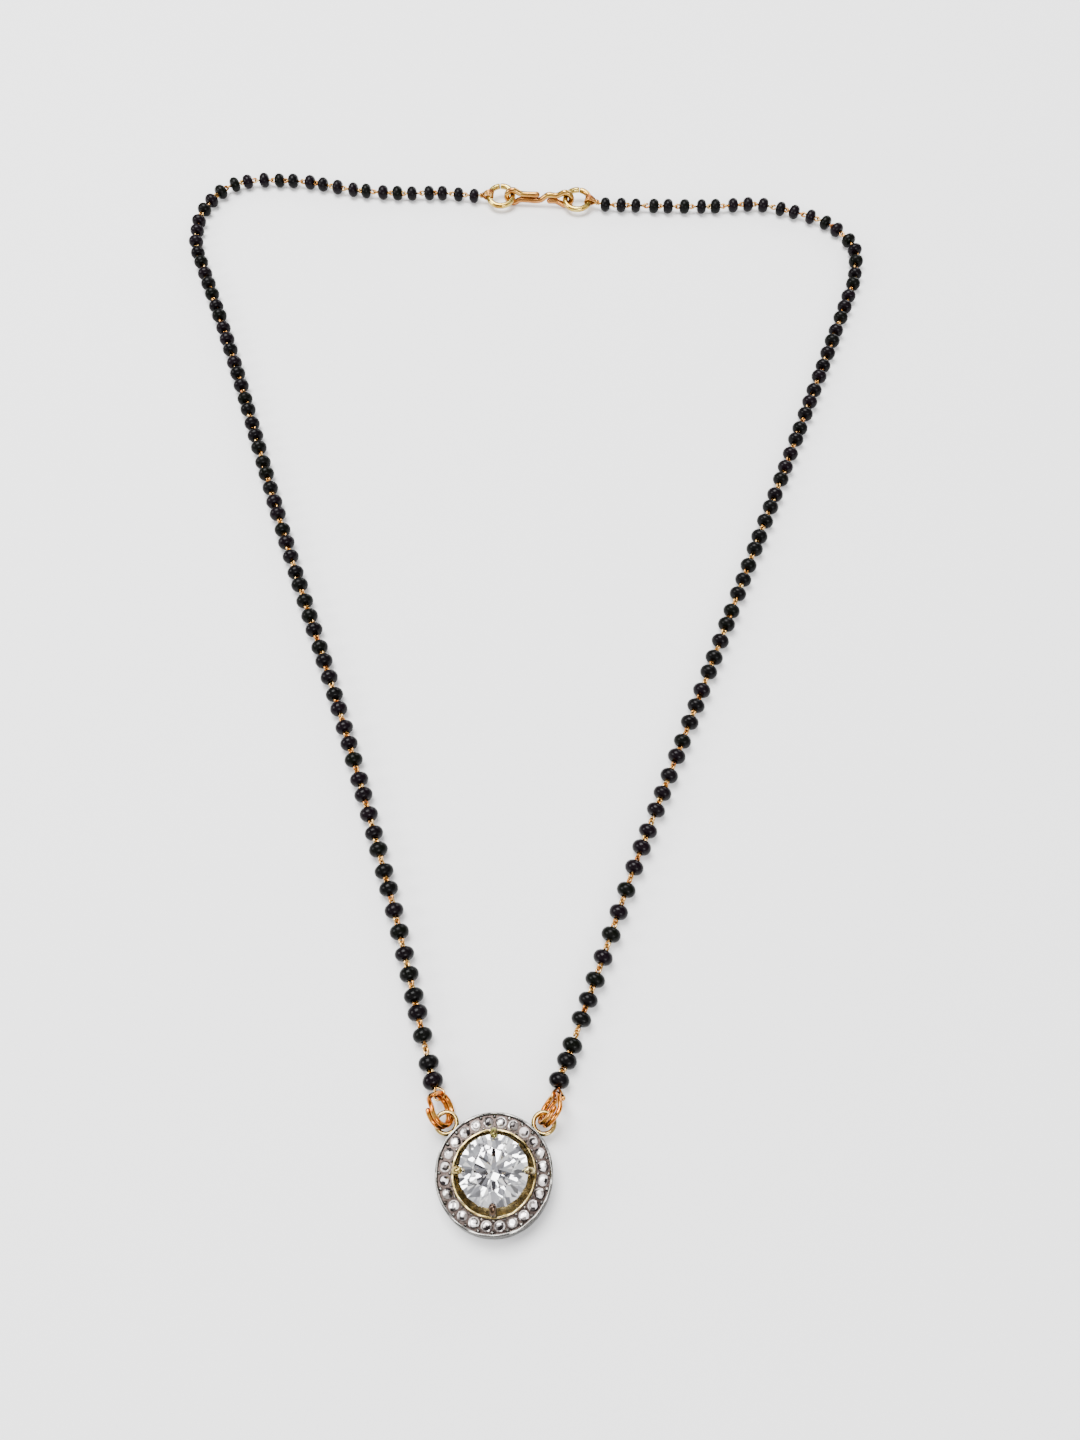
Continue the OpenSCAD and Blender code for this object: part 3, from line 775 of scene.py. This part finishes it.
def piece(name, surface, material, replaced=(), marks=None, flat=False):
    """Puts a surface into a mesh object at the origin, in metres, riding on the necklace.
    marks holds numbers for its vertices or its faces, told apart by their count."""
    vertices, quads, fans = surface
    mesh = bpy.data.meshes.new(name)
    mesh.vertices.add(len(vertices))
    mesh.vertices.foreach_set("co", (vertices * MM).astype(np.float32).ravel())
    corners = np.concatenate([quads.ravel(), fans.ravel()]).astype(np.int32)
    mesh.loops.add(len(corners))
    mesh.loops.foreach_set("vertex_index", corners)
    sides = np.concatenate([np.full(len(quads), 4), np.full(len(fans), 3)])
    mesh.polygons.add(len(sides))
    mesh.polygons.foreach_set(
        "loop_start", np.concatenate([[0], np.cumsum(sides)[:-1]]).astype(np.int32)
    )
    mesh.polygons.foreach_set("use_smooth", np.full(len(sides), not flat))
    mesh.update(calc_edges=True)
    if mesh.validate():
        raise RuntimeError(f"{name} has faces that Blender had to mend")
    for key, values in (marks or {}).items():
        domain = "POINT" if len(values) == len(vertices) else "FACE"
        layer = mesh.attributes.new(key, "FLOAT", domain)
        layer.data.foreach_set("value", np.asarray(values, np.float32))
    mesh.materials.append(material)
    made = bpy.data.objects.new(name, mesh)
    bpy.context.scene.collection.objects.link(made)
    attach(made, ROOT)
    if replaced:
        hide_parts(*replaced)


def halo_surface(pendant):
    """The halo with its channel and cup: a rounded profile turned about Z, its rims and wall
    uneven by a few hundredths of a millimetre."""
    corners = [
        (pendant.halo_r, 0), (pendant.halo_r, pendant.halo_height),
        (pendant.channel_out, pendant.halo_height), (pendant.channel_out, pendant.channel_z),
        (pendant.channel_in, pendant.channel_z), (pendant.channel_in, pendant.halo_height),
        (pendant.bore_r, pendant.halo_height), (pendant.bore_r, pendant.cup_rise),
        (pendant.cup_hole / 2, pendant.cup_edge), (pendant.cup_hole / 2, 0),
    ]
    profile = rounded_loop(corners, [0.15, 0.1, 0.1, 0.05, 0.05, 0.08, 0.08, 0.1, 0.08, 0.08])
    a = np.linspace(0, 2 * math.pi, 176, endpoint=False)[None, :]
    r, z = profile[:, :1], profile[:, 1:]
    high = np.clip((z - pendant.channel_z) / pendant.channel_depth, 0, 1)
    radius = r + high * 0.025 * ripple(a, RIM_SEED)
    height = z + high * 0.03 * ripple(a + r, EDGE_SEED, (4, 7, 11, 17))
    return lattice(polar(radius, a, height)[None], ring=True)


def claws_surface(pendant):
    """Four claws: a post beside the stone, bent in over its girdle to a blunt tip."""
    r = pendant.claw / 2
    post = pendant.bore_r - 0.6 * r
    foot = pendant.cup_rise / 2
    bend = pendant.girdle_z + 0.2
    tip = (pendant.stone / 2 - 0.1, bend + 0.32)
    profile = spline(
        [(post, foot), (post, bend - 1.2), (post, bend - 0.3), (post - 0.06, bend),
         (post - 0.24, bend + 0.25), tip], 4
    )
    a = np.radians([0, 90, 180, 270])[:, None]
    path = polar(profile[None, :, 0], a, profile[None, :, 1])
    thick = r * np.interp(
        np.linspace(0, 1, len(profile)), [0, 0.55, 0.8, 1], [1, 1, 0.92, 1.06]
    )
    across = polar(1.0, a + math.pi / 2, 0.0)
    return wire(path, thick[None], 14, across)


def grains_surface(pendant):
    """Two rows of metal grains raised between the small stones: low domes turned about Z."""
    a = np.radians(np.arange(SMALL_STONES) * 360 / SMALL_STONES)
    rng = np.random.default_rng(GRAIN_SEED)
    sunk, tall = -0.2, 1.6
    grains = []
    for radius, size in ((pendant.channel_in + 0.17, 0.19), (pendant.channel_out - 0.2, 0.24)):
        turn = a + rng.uniform(-0.012, 0.012, len(a))
        at = polar(radius, turn, pendant.channel_z)[:, None, None]
        scale = size * rng.uniform(0.85, 1.1, len(a))[:, None, None, None]
        rise = np.radians([0, 22, 45, 68])[:, None]
        round_it = np.linspace(0, 2 * math.pi, 10, endpoint=False)[None, :]
        dome = np.concatenate(
            [polar(1.0, round_it, sunk), polar(np.cos(rise), round_it, tall * np.sin(rise))]
        )
        poles = at[:, 0] + scale[:, 0] * np.array([[0, 0, sunk], [0, 0, tall]])
        grains.append(lattice(at + scale * dome[None], poles=poles))
    return joined(*grains)


def small_stones_surface(pendant):
    """Single-cut stones: rings of eight corners from the table down to the girdle's underside,
    every other ring turned by half a corner, closed over the table and at the culet, each stone
    turned and tipped a little."""
    rng = np.random.default_rng(STONE_SEED)
    a = np.radians((np.arange(SMALL_STONES) + 0.5) * 360 / SMALL_STONES)
    at = polar((pendant.channel_in + pendant.channel_out) / 2, a, pendant.channel_z + 0.03)
    r = pendant.small_stone / 2 * rng.uniform(0.92, 1.0, SMALL_STONES)[:, None, None, None]
    turn = np.arange(8) * math.pi / 4
    rows = np.stack([
        polar(radius, turn + (math.pi / 8 if row % 2 else 0), height)
        for row, (radius, height) in enumerate(STONE_RINGS)
    ])
    poles = np.array([[0, 0, STONE_TABLE], [0, 0, STONE_CULET]])
    spin = rng.uniform(0, math.pi / 4, SMALL_STONES)
    tip = rng.uniform(-0.09, 0.09, (SMALL_STONES, 2))
    z = unit(np.column_stack([tip, np.ones(SMALL_STONES)]))
    x = np.column_stack([np.cos(spin), np.sin(spin), np.zeros(SMALL_STONES)])
    x = unit(x - np.sum(x * z, axis=1, keepdims=True) * z)
    turned = np.stack([x, np.cross(z, x), z], axis=1)
    grid = at[:, None, None] + r * np.einsum("rck,nkj->nrcj", rows, turned)
    ends = at[:, None] + r[:, 0] * np.einsum("pk,nkj->npj", poles, turned)
    return lattice(grid, poles=ends)


def stone_flashes():
    """How brightly each facet of the small stones flashes, as painted reflection: a dark, middling
    or bright tone for each quarter of a stone, shared by its two rows of crown facets, and one for
    its table."""
    rng = np.random.default_rng(FLASH_SEED)
    quarters = rng.choice(FLASH_TONES, (SMALL_STONES, 2, 4), p=FLASH_ODDS)
    quarters = quarters.repeat(2, 1).repeat(2, 2)
    tables = rng.choice(FLASH_TONES, (SMALL_STONES, 1), p=FLASH_ODDS).repeat(8, 1)
    backs = np.zeros((SMALL_STONES, 8))
    return np.concatenate([quarters.ravel(), np.hstack([tables, backs]).ravel()])


def ring_frame(side, turn, lean, slide, pendant, strand):
    """Where a double ring stands, as in the solids: its centre, its two axes a and b, the point
    where it carries the strand's eye, and its direction there. It leans with b up from the
    table, rests on its lower edge and passes through its side loop."""
    a = np.array([math.sin(turn), math.cos(turn), 0.0])
    out = side * np.array([math.cos(turn), -math.sin(turn), 0.0])
    b = math.cos(lean) * out + math.sin(lean) * UP
    rise = pendant.ring_r * math.sin(lean)
    z = rise + pendant.ring_pitch / 2 * math.cos(lean) + pendant.ring_wire / 2
    at_loop = math.asin((z - pendant.loop_z) / rise)
    at_eye = math.asin((z - strand.z - EYE_CLIMB) / rise)
    half = math.sqrt(0.5)
    loop = np.array([side * pendant.loop_at * half, pendant.loop_at * half, pendant.loop_z])
    centre = (
        loop + slide[0] * a + slide[1] * out
        + pendant.ring_r * (math.cos(at_loop) * a + math.sin(at_loop) * b)
    )
    eye = centre + pendant.ring_r * (math.cos(at_eye) * a - math.sin(at_eye) * b)
    along = math.sin(at_eye) * a + math.cos(at_eye) * b
    return SimpleNamespace(centre=centre, a=a, b=b, eye=eye, along=along)


def side_loops_surface(pendant):
    """Two closed loops of wire soldered to the halo's wall, lying flat: a circle round each."""
    half = math.sqrt(0.5) * pendant.loop_at
    a = np.linspace(0, 2 * math.pi, 64, endpoint=False)
    ring = polar((pendant.loop - pendant.loop_wire) / 2, a, pendant.loop_z)
    return wire(
        [ring + np.array([side * half, half, 0.0]) for side in (-1, 1)], pendant.loop_wire / 2, 16,
        UP, closed=True,
    )


def double_ring_surface(place, pendant):
    """Two turns of wire side by side: a circle of two turns in a and b, stepping across by one
    wire where the turns meet, by the smooth step 3w^2 - 2w^3."""
    step, ends = 0.08, math.radians(60)
    t = np.linspace(step, 2 - step, 110)
    w = np.clip((t - 1 + step) / (2 * step), 0, 1)
    shift = (w * w * (3 - 2 * w) - 0.5) * pendant.ring_pitch
    turn = 2 * math.pi * t + ends
    normal = np.cross(place.a, place.b)
    path = (
        place.centre
        + pendant.ring_r * (np.cos(turn)[:, None] * place.a + np.sin(turn)[:, None] * place.b)
        + shift[:, None] * normal
    )
    return wire(path, pendant.ring_wire / 2, 14, normal)


def clasp_frame():
    """Directions at the clasp: along it, the rings' second axis and the hook's second axis."""
    along = np.array([math.cos(CLASP_TURN), math.sin(CLASP_TURN), 0.0])
    across = np.array([-math.sin(CLASP_TURN), math.cos(CLASP_TURN), 0.0])
    ring_up = math.cos(CLASP_RING_TILT) * across + math.sin(CLASP_RING_TILT) * UP
    hook_up = math.cos(HOOK_LEAN) * UP + math.sin(HOOK_LEAN) * across
    return along, ring_up, hook_up


def clasp_point(side, reach, z, clasp):
    """A point on the clasp's line, beyond the ring's centre on this side by reach."""
    along = clasp_frame()[0]
    return np.array([*CLASP_AT, z]) + side * (clasp.span / 2 + reach) * along


def clasp_ring_surface(side, clasp):
    """One clasp ring: wire bent round to a butt joint near its top, its ends cut square."""
    along, ring_up, _ = clasp_frame()
    joint = math.radians(90 - 8 * side)
    half = clasp.slit / 2 / clasp.ring_r
    steps = 90
    a = np.linspace(joint + half, joint + 2 * math.pi - half, steps)[:, None]
    at = clasp_point(side, 0, clasp.ring_z, clasp)
    radius = clasp.ring_r * (1 + 0.012 * np.sin(2 * a + side))
    path = at + radius * (np.cos(a) * along + np.sin(a) * ring_up)
    thick = clasp.ring_wire / 2 * np.interp(
        np.arange(steps), [0, 2, steps - 3, steps - 1], [0.9, 1.0, 1.0, 0.9]
    )
    return wire(path, thick[None], 20, np.cross(along, ring_up), domed=False)


def hook_surface(clasp):
    """The S-hook, one wire: a round eye at each end and each tip laid back beside the other
    run, smoothed through the same points as the solid."""
    along, _, hook_up = clasp_frame()
    half = clasp.span / 2 - clasp.ring_r - FIT
    run = clasp.run_gap / 2
    turn = np.radians(np.arange(72, 289, 24))
    eye = clasp.hook_r * np.column_stack([np.cos(turn), np.sin(turn)])
    neck = half - 1.35 * clasp.hook_r
    points = np.vstack([
        [[HOOK_CROSS - HOOK_TIP, run], [-neck, run]],
        eye + [-half, 0],
        [[-neck, -run], [HOOK_CROSS - HOOK_SLANT, -run]],
        [[HOOK_CROSS + HOOK_SLANT, run], [neck, run]],
        eye * [-1, 1] + [half, 0],
        [[neck, -run], [HOOK_CROSS + HOOK_TIP, -run]],
    ])
    flat = spline(points, 5)
    at = clasp_point(0, -clasp.span / 2, clasp.hook_z, clasp)
    path = at + flat[:, :1] * along + flat[:, 1:] * hook_up
    return wire(path, clasp.hook_wire / 2, 16, np.cross(along, hook_up))


def strand_places(start, route, end, gap, slides, phase, strand):
    """The middles of a strand's beads along its smooth route, each slid a little off its even
    place, and halfway between them the joints where their wires meet, as in the solids."""
    curve = spline(np.vstack([start[:2], route, end[:2]]), SPLINE_STEPS)
    run = np.concatenate([[0], np.cumsum(np.linalg.norm(np.diff(curve, axis=0), axis=1))])
    total = run[-1] - FIRST_JOINT - (strand.eye_r + END_SHANK)
    count = round(total / (strand.bead_length + gap))
    k = np.arange(count)
    slid = strand.slack * np.sin(np.radians(SLIDE_TURN * k + phase))
    slid[:len(slides)] = slides
    middles = FIRST_JOINT + (k + 0.5) * total / count + slid
    meets = [FIRST_JOINT, *(middles[:-1] + middles[1:]) / 2, FIRST_JOINT + total]
    beads, joints = (
        np.column_stack([np.interp(r, run, curve[:, 0]), np.interp(r, run, curve[:, 1]),
                         np.full(len(r), strand.z)]) for r in (middles, meets)
    )
    joints[0, 2] = start[2]
    beads[0, 2] = (start[2] + strand.z) / 2
    return beads, joints


def strand_axes(one):
    """Each bead's direction along the wire and two directions square to it."""
    along = unit(one.joints[1:] - one.joints[:-1])
    across = unit(np.cross(UP, along))
    return along, across, np.cross(along, across)


def beads_surface(one, seed, strand):
    """Turned glass beads: a half-ellipse round the outside, a small round lip into the hole and
    the hole's wall, turned about the wire. Each bead's size and set differ a little."""
    rng = np.random.default_rng(seed)
    along, across, over = strand_axes(one)
    count = len(along)
    outer, half, bore = strand.bead / 2, strand.bead_length / 2, strand.bore / 2
    lip, sides = 0.1, 20
    round_it = np.radians(np.linspace(-90, 90, 13))
    lip_turn = np.radians([30, 60, 90])
    lip_r = bore + lip * (1 - np.sin(lip_turn))
    lip_z = half - lip * (1 - np.cos(lip_turn))
    r = np.concatenate([
        bore + lip + (outer - bore - lip) * np.cos(round_it), lip_r, [bore], lip_r[::-1]
    ])
    z = np.concatenate([half * np.sin(round_it), lip_z, [0], -lip_z[::-1]])
    scale = rng.uniform(0.985, 1.03, (count, 1, 1))
    squash = rng.uniform(0.93, 1.02, (count, 1, 1))
    a = np.linspace(0, 2 * math.pi, sides, endpoint=False)[None, None, :]
    width = np.where(r[None, :, None] > bore + 0.01, r[None, :, None] * scale, bore)
    lean = rng.uniform(-0.045, 0.045, (count, 2))
    axis = unit(along + lean[:, :1] * across + lean[:, 1:] * over)
    side = unit(across - np.sum(across * axis, axis=1, keepdims=True) * axis)
    top = np.cross(axis, side)
    middle = one.beads - UP * outer * (1 - scale[:, 0])
    grid = (
        middle[:, None, None]
        + (width * np.cos(a))[..., None] * side[:, None, None]
        + (width * np.sin(a))[..., None] * top[:, None, None]
        + (z[None, :, None] * squash * np.ones_like(a))[..., None] * axis[:, None, None]
    )
    own = np.repeat(rng.uniform(0, 1, count), len(r) * sides)
    return lattice(grid, ring=True), own


def links_surface(one, seed, strand):
    """The small eyes between the beads. Each bead has a wire through it that ends in an oval
    eye on each side; an eye reaches just past the joint, so that neighbours, a quarter turn
    apart, hook into each other. The oval is x = neck + L (1 - cos t) / 2, y = w sin t, and the
    wire runs in to it from the bead's middle."""
    rng = np.random.default_rng(seed)
    along, across, over = strand_axes(one)
    count = len(along)
    roll = math.pi / 4 + np.arange(count) * math.pi / 2 + rng.uniform(-0.18, 0.18, count)
    t = np.radians(np.linspace(35, 325, 15))[None, :]
    longest, in_hole, leg = 0.85, 0.15, 0.35
    eyes = []
    for side, beads, joints in (
        (1, slice(0, count - 1), slice(1, count)), (-1, slice(1, count), slice(1, count))
    ):
        reach = np.linalg.norm(one.joints[joints] - one.beads[beads], axis=1)[:, None]
        reach = reach + strand.wire / 2 + WOUND_GAP
        neck = np.maximum(strand.bead_length / 2 - in_hole, reach - longest)
        x = np.hstack([
            np.zeros_like(neck), neck - leg, neck + (reach - neck) * (1 - np.cos(t)) / 2
        ])
        y = strand.link_width / 2 * np.sin(t) * np.ones_like(neck)
        y = np.hstack([np.zeros((count - 1, 2)), y])
        out = side * along[beads]
        turn = roll[beads][:, None]
        lateral = np.cos(turn) * across[beads] + np.sin(turn) * over[beads]
        path = (
            one.beads[beads][:, None] + x[..., None] * out[:, None]
            + y[..., None] * lateral[:, None]
        )
        eyes.append(wire(path, strand.wire / 2, 8, np.cross(out, lateral)[:, None], domed=False))
    return joined(*eyes)


def end_wire_surface(eye, bead, grip, shape, turns, coil, strand):
    """The last wire of a strand, wound through its ring as a teardrop. With w = (1 - cos t) / 2
    a turn is u = (back + neck) w - back along the strand and v = half sin t (1 - 0.55 w^2)
    round the ring's wire; the next lies one wire beside it at the back, and by (1 - w)^0.7 of
    that nearer the neck. The tail is wound round the neck in a helix that narrows to the bead."""
    back, half, neck = shape
    open_by, leg_length, leg_apart = 0.5, 0.25, 0.1
    along = unit(bead - eye)
    across = unit(grip - np.dot(grip, along) * along)
    lateral = np.cross(across, along)
    t = np.linspace(
        open_by - math.pi, (2 * turns - 1) * math.pi - open_by, 36 * turns
    )[:, None]
    w = (1 - np.cos(t)) / 2
    u = (back + neck) * w - back
    v = half * np.sin(t) * (1 - 0.55 * w ** 2)
    beside = (t / (2 * math.pi) - (turns - 1) / 2) * (strand.wire + WOUND_GAP) * (1 - w) ** 0.7
    path = eye + u * along + v * lateral + beside * across
    leg = eye + (neck + leg_length) * along
    path = np.vstack([leg - leg_apart * lateral, path, leg + leg_apart * lateral, bead])
    parts = [wire(path, strand.wire / 2, 10, across)]
    if coil:
        rounds = coil / (strand.wire * 1.03)
        s = np.linspace(0, 1, int(18 * rounds))[:, None]
        wind = 2 * math.pi * rounds * s
        width = strand.wire * (1.25 - 0.4 * s)
        helix = (
            eye + (neck - leg_apart + coil * s) * along
            + width * (np.cos(wind) * lateral + np.sin(wind) * across)
        )
        parts.append(wire(helix, strand.wire / 2, 8, along))
    return joined(*parts)


# Operators


class MangalsutraStep:
    """What every step has in common."""

    bl_options = {"REGISTER", "UNDO"}


class MANGALSUTRA_OT_stage(MangalsutraStep, bpy.types.Operator):
    """Lay a plain pale floor, light it softly and set the camera at the photograph's angle"""

    bl_idname = "mangalsutra.stage"
    bl_label = "Floor, lights and camera"

    def execute(self, context):
        scene = context.scene
        floor = bpy.data.meshes.new("floor")
        floor.from_pydata(
            [(x * FLOOR_REACH, y * FLOOR_REACH, -FLOOR_DROP)
             for x, y in ((-1, -1), (1, -1), (1, 1), (-1, 1))],
            [], [(0, 1, 2, 3)],
        )
        matte = Finish("floor", **{"Base Color": scene.mangalsutra_colours.floor,
                                   "Roughness": 0.75})
        floor.materials.append(matte.material)
        laid = bpy.data.objects.new("floor", floor)
        scene.collection.objects.link(laid)

        for name, place, size, power in LAMPS:
            light = bpy.data.lights.new(name, "AREA")
            light.shape = "SQUARE"
            light.size = size
            light.energy = power
            lamp = bpy.data.objects.new(name, light)
            lamp.location = place
            aim = np.subtract(LAMP_AIM, place)
            lamp.rotation_euler = (
                math.acos(-aim[2] / np.linalg.norm(aim)), 0, math.atan2(-aim[0], aim[1])
            )
            scene.collection.objects.link(lamp)

        scene.world = studio()
        lens = bpy.data.cameras.new("camera")
        lens.lens = FOCAL_LENGTH
        lens.sensor_width = SENSOR_WIDTH
        lens.clip_start = NEAREST
        camera = bpy.data.objects.new("camera", lens)
        camera.location = CAMERA_AT
        camera.rotation_euler = (CAMERA_TILT, 0, 0)
        scene.collection.objects.link(camera)
        scene.camera = camera
        return {"FINISHED"}


class MANGALSUTRA_OT_pendant(MangalsutraStep, bpy.types.Operator):
    """Build the halo with its cup, claws, grains and side loops"""

    bl_idname = "mangalsutra.pendant"
    bl_label = "Pendant setting"

    def execute(self, context):
        pendant, _, _ = sizes_of(context)
        colours = context.scene.mangalsutra_colours
        piece("halo", halo_surface(pendant), halo_metal(pendant, colours),
              ["pendant_setting"])
        surface = claws_surface(pendant)
        # Painted light and shade: how pale each claw is painted
        claw_light_shares = np.repeat(CLAW_LIGHTING, len(surface[0]) // len(CLAW_LIGHTING))
        piece("claws", surface, claw_metal(), marks={"own": claw_light_shares})
        piece("grains", grains_surface(pendant), polished_gold("grain_metal", colours.silver))
        piece("side_loops", side_loops_surface(pendant),
              polished_gold("loop_gold", colours.loop_gold))
        return {"FINISHED"}


class MANGALSUTRA_OT_stones(MangalsutraStep, bpy.types.Operator):
    """Cut the small stones of the halo and clear the centre stone"""

    bl_idname = "mangalsutra.stones"
    bl_label = "Stones"

    def execute(self, context):
        pendant, _, _ = sizes_of(context)
        champagne = small_stone(context.scene.mangalsutra_colours.champagne)
        piece("small_stones", small_stones_surface(pendant), champagne,
              ["halo_stones"], {"flash": stone_flashes()}, flat=True)
        clear = clear_stone()
        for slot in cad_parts["center_stone"].material_slots:
            slot.material = clear
        return {"FINISHED"}


class MANGALSUTRA_OT_double_rings(MangalsutraStep, bpy.types.Operator):
    """Wind the two double rings that hang the pendant"""

    bl_idname = "mangalsutra.double_rings"
    bl_label = "Double rings"

    def execute(self, context):
        pendant, strand, _ = sizes_of(context)
        gold = polished_gold("ring_gold", context.scene.mangalsutra_colours.red_gold)
        for name, place in ring_frames(pendant, strand).items():
            piece(f"{name}_double_ring", double_ring_surface(place, pendant), gold,
                  [f"{name}_pendant_ring"])
        return {"FINISHED"}


def ring_frames(pendant, strand):
    """Both double rings' places."""
    return {
        name: ring_frame(side, turn, lean, slide, pendant, strand)
        for name, side, turn, lean, slide in (
            ("left", -1, LEFT_RING_TURN, pendant.left_lean, LEFT_RING_SLIDE),
            ("right", 1, RIGHT_RING_TURN, pendant.right_lean, RIGHT_RING_SLIDE),
        )
    }


def strands(pendant, strand, clasp):
    """Each strand's name, beads, joints, ends and the way of the wires that its ends grip."""
    places = ring_frames(pendant, strand)
    ring_up = clasp_frame()[1]
    found = []
    for name, side, route, gap, slides, phase in (
        ("left", -1, LEFT_ROUTE, strand.left_gap, LEFT_SLIDES, 0),
        ("right", 1, RIGHT_ROUTE, strand.right_gap, RIGHT_SLIDES, RIGHT_SLIDE_PHASE),
    ):
        start = places[name].eye
        end = clasp_point(side, clasp.ring_r + FIT, strand.z + CLASP_EYE_CLIMB, clasp)
        beads, joints = strand_places(start, route, end, gap, slides, phase, strand)
        found.append(SimpleNamespace(
            name=name, beads=beads, joints=joints, start=start, start_grip=places[name].along,
            end=end, end_grip=ring_up,
        ))
    return found


class MANGALSUTRA_OT_beads(MangalsutraStep, bpy.types.Operator):
    """Thread the black glass beads of both strands"""

    bl_idname = "mangalsutra.beads"
    bl_label = "Glass beads"

    def execute(self, context):
        pendant, strand, clasp = sizes_of(context)
        glass = black_glass(context.scene.mangalsutra_colours)
        for seed, one in enumerate(strands(pendant, strand, clasp), start=BEAD_SEED):
            surface, own = beads_surface(one, seed, strand)
            piece(f"{one.name}_glass_beads", surface, glass,
                  [f"{one.name}_beads"], {"own": own})
        return {"FINISHED"}


class MANGALSUTRA_OT_links(MangalsutraStep, bpy.types.Operator):
    """Bend the wire links between the beads and the eyes at the strands' ends"""

    bl_idname = "mangalsutra.links"
    bl_label = "Wire links"

    def execute(self, context):
        pendant, strand, clasp = sizes_of(context)
        gold = polished_gold("wire_gold", context.scene.mangalsutra_colours.wire_gold)
        for seed, one in enumerate(strands(pendant, strand, clasp), start=LINK_SEED):
            first = end_wire_surface(
                one.start, one.beads[0], one.start_grip, PENDANT_WRAP, PENDANT_TURNS, 0, strand
            )
            last = end_wire_surface(
                one.end, one.beads[-1], one.end_grip, CLASP_WRAP, CLASP_TURNS,
                CLASP_COILS[one.name], strand
            )
            piece(f"{one.name}_links", joined(links_surface(one, seed, strand), first, last),
                  gold, [f"{one.name}_wire"])
        return {"FINISHED"}


class MANGALSUTRA_OT_clasp(MangalsutraStep, bpy.types.Operator):
    """Bend the two clasp rings and the S-hook between them"""

    bl_idname = "mangalsutra.clasp"
    bl_label = "Clasp"

    def execute(self, context):
        _, _, clasp = sizes_of(context)
        colours = context.scene.mangalsutra_colours
        gold = polished_gold("clasp_gold", colours.clasp_gold)
        for name, side in (("left", -1), ("right", 1)):
            piece(f"{name}_clasp_loop", clasp_ring_surface(side, clasp), gold,
                  [f"{name}_clasp_ring"])
        piece("hook", hook_surface(clasp), hook_metal(colours, clasp), ["s_hook"])
        return {"FINISHED"}


class MANGALSUTRA_PT_panel(bpy.types.Panel):
    """Lists the steps, sizes and colours in the 3D view's sidebar"""

    bl_label = "Mangalsutra"
    bl_idname = "MANGALSUTRA_PT_panel"
    bl_space_type = "VIEW_3D"
    bl_region_type = "UI"
    bl_category = "Mangalsutra"

    def draw(self, context):
        for step in STEPS:
            self.layout.operator(step.bl_idname)
        for name in GROUPS:
            box = self.layout.box()
            group = getattr(context.scene, name)
            for key in GROUPS[name].__annotations__:
                box.prop(group, key)


STEPS = (
    MANGALSUTRA_OT_stage, MANGALSUTRA_OT_pendant, MANGALSUTRA_OT_stones,
    MANGALSUTRA_OT_double_rings, MANGALSUTRA_OT_beads, MANGALSUTRA_OT_links,
    MANGALSUTRA_OT_clasp,
)
GROUPS = {
    "mangalsutra_pendant": PendantSizes,
    "mangalsutra_strand": StrandSizes,
    "mangalsutra_clasp": ClaspSizes,
    "mangalsutra_colours": FinishColours,
}
CLASSES = (*GROUPS.values(), *STEPS, MANGALSUTRA_PT_panel)


def register():
    """Registers the classes and hangs the groups of sizes and colours on the scene."""
    for cls in CLASSES:
        bpy.utils.register_class(cls)
    for name, group in GROUPS.items():
        setattr(bpy.types.Scene, name, bpy.props.PointerProperty(type=group))


def unregister():
    """Takes all of it away again."""
    for name in GROUPS:
        delattr(bpy.types.Scene, name)
    for cls in reversed(CLASSES):
        bpy.utils.unregister_class(cls)


def main():
    """Registers the add-on and builds everything in order."""
    register()
    for step in STEPS:
        getattr(bpy.ops.mangalsutra, step.bl_idname.split(".")[1])()


if __name__ == "__main__":
    main()
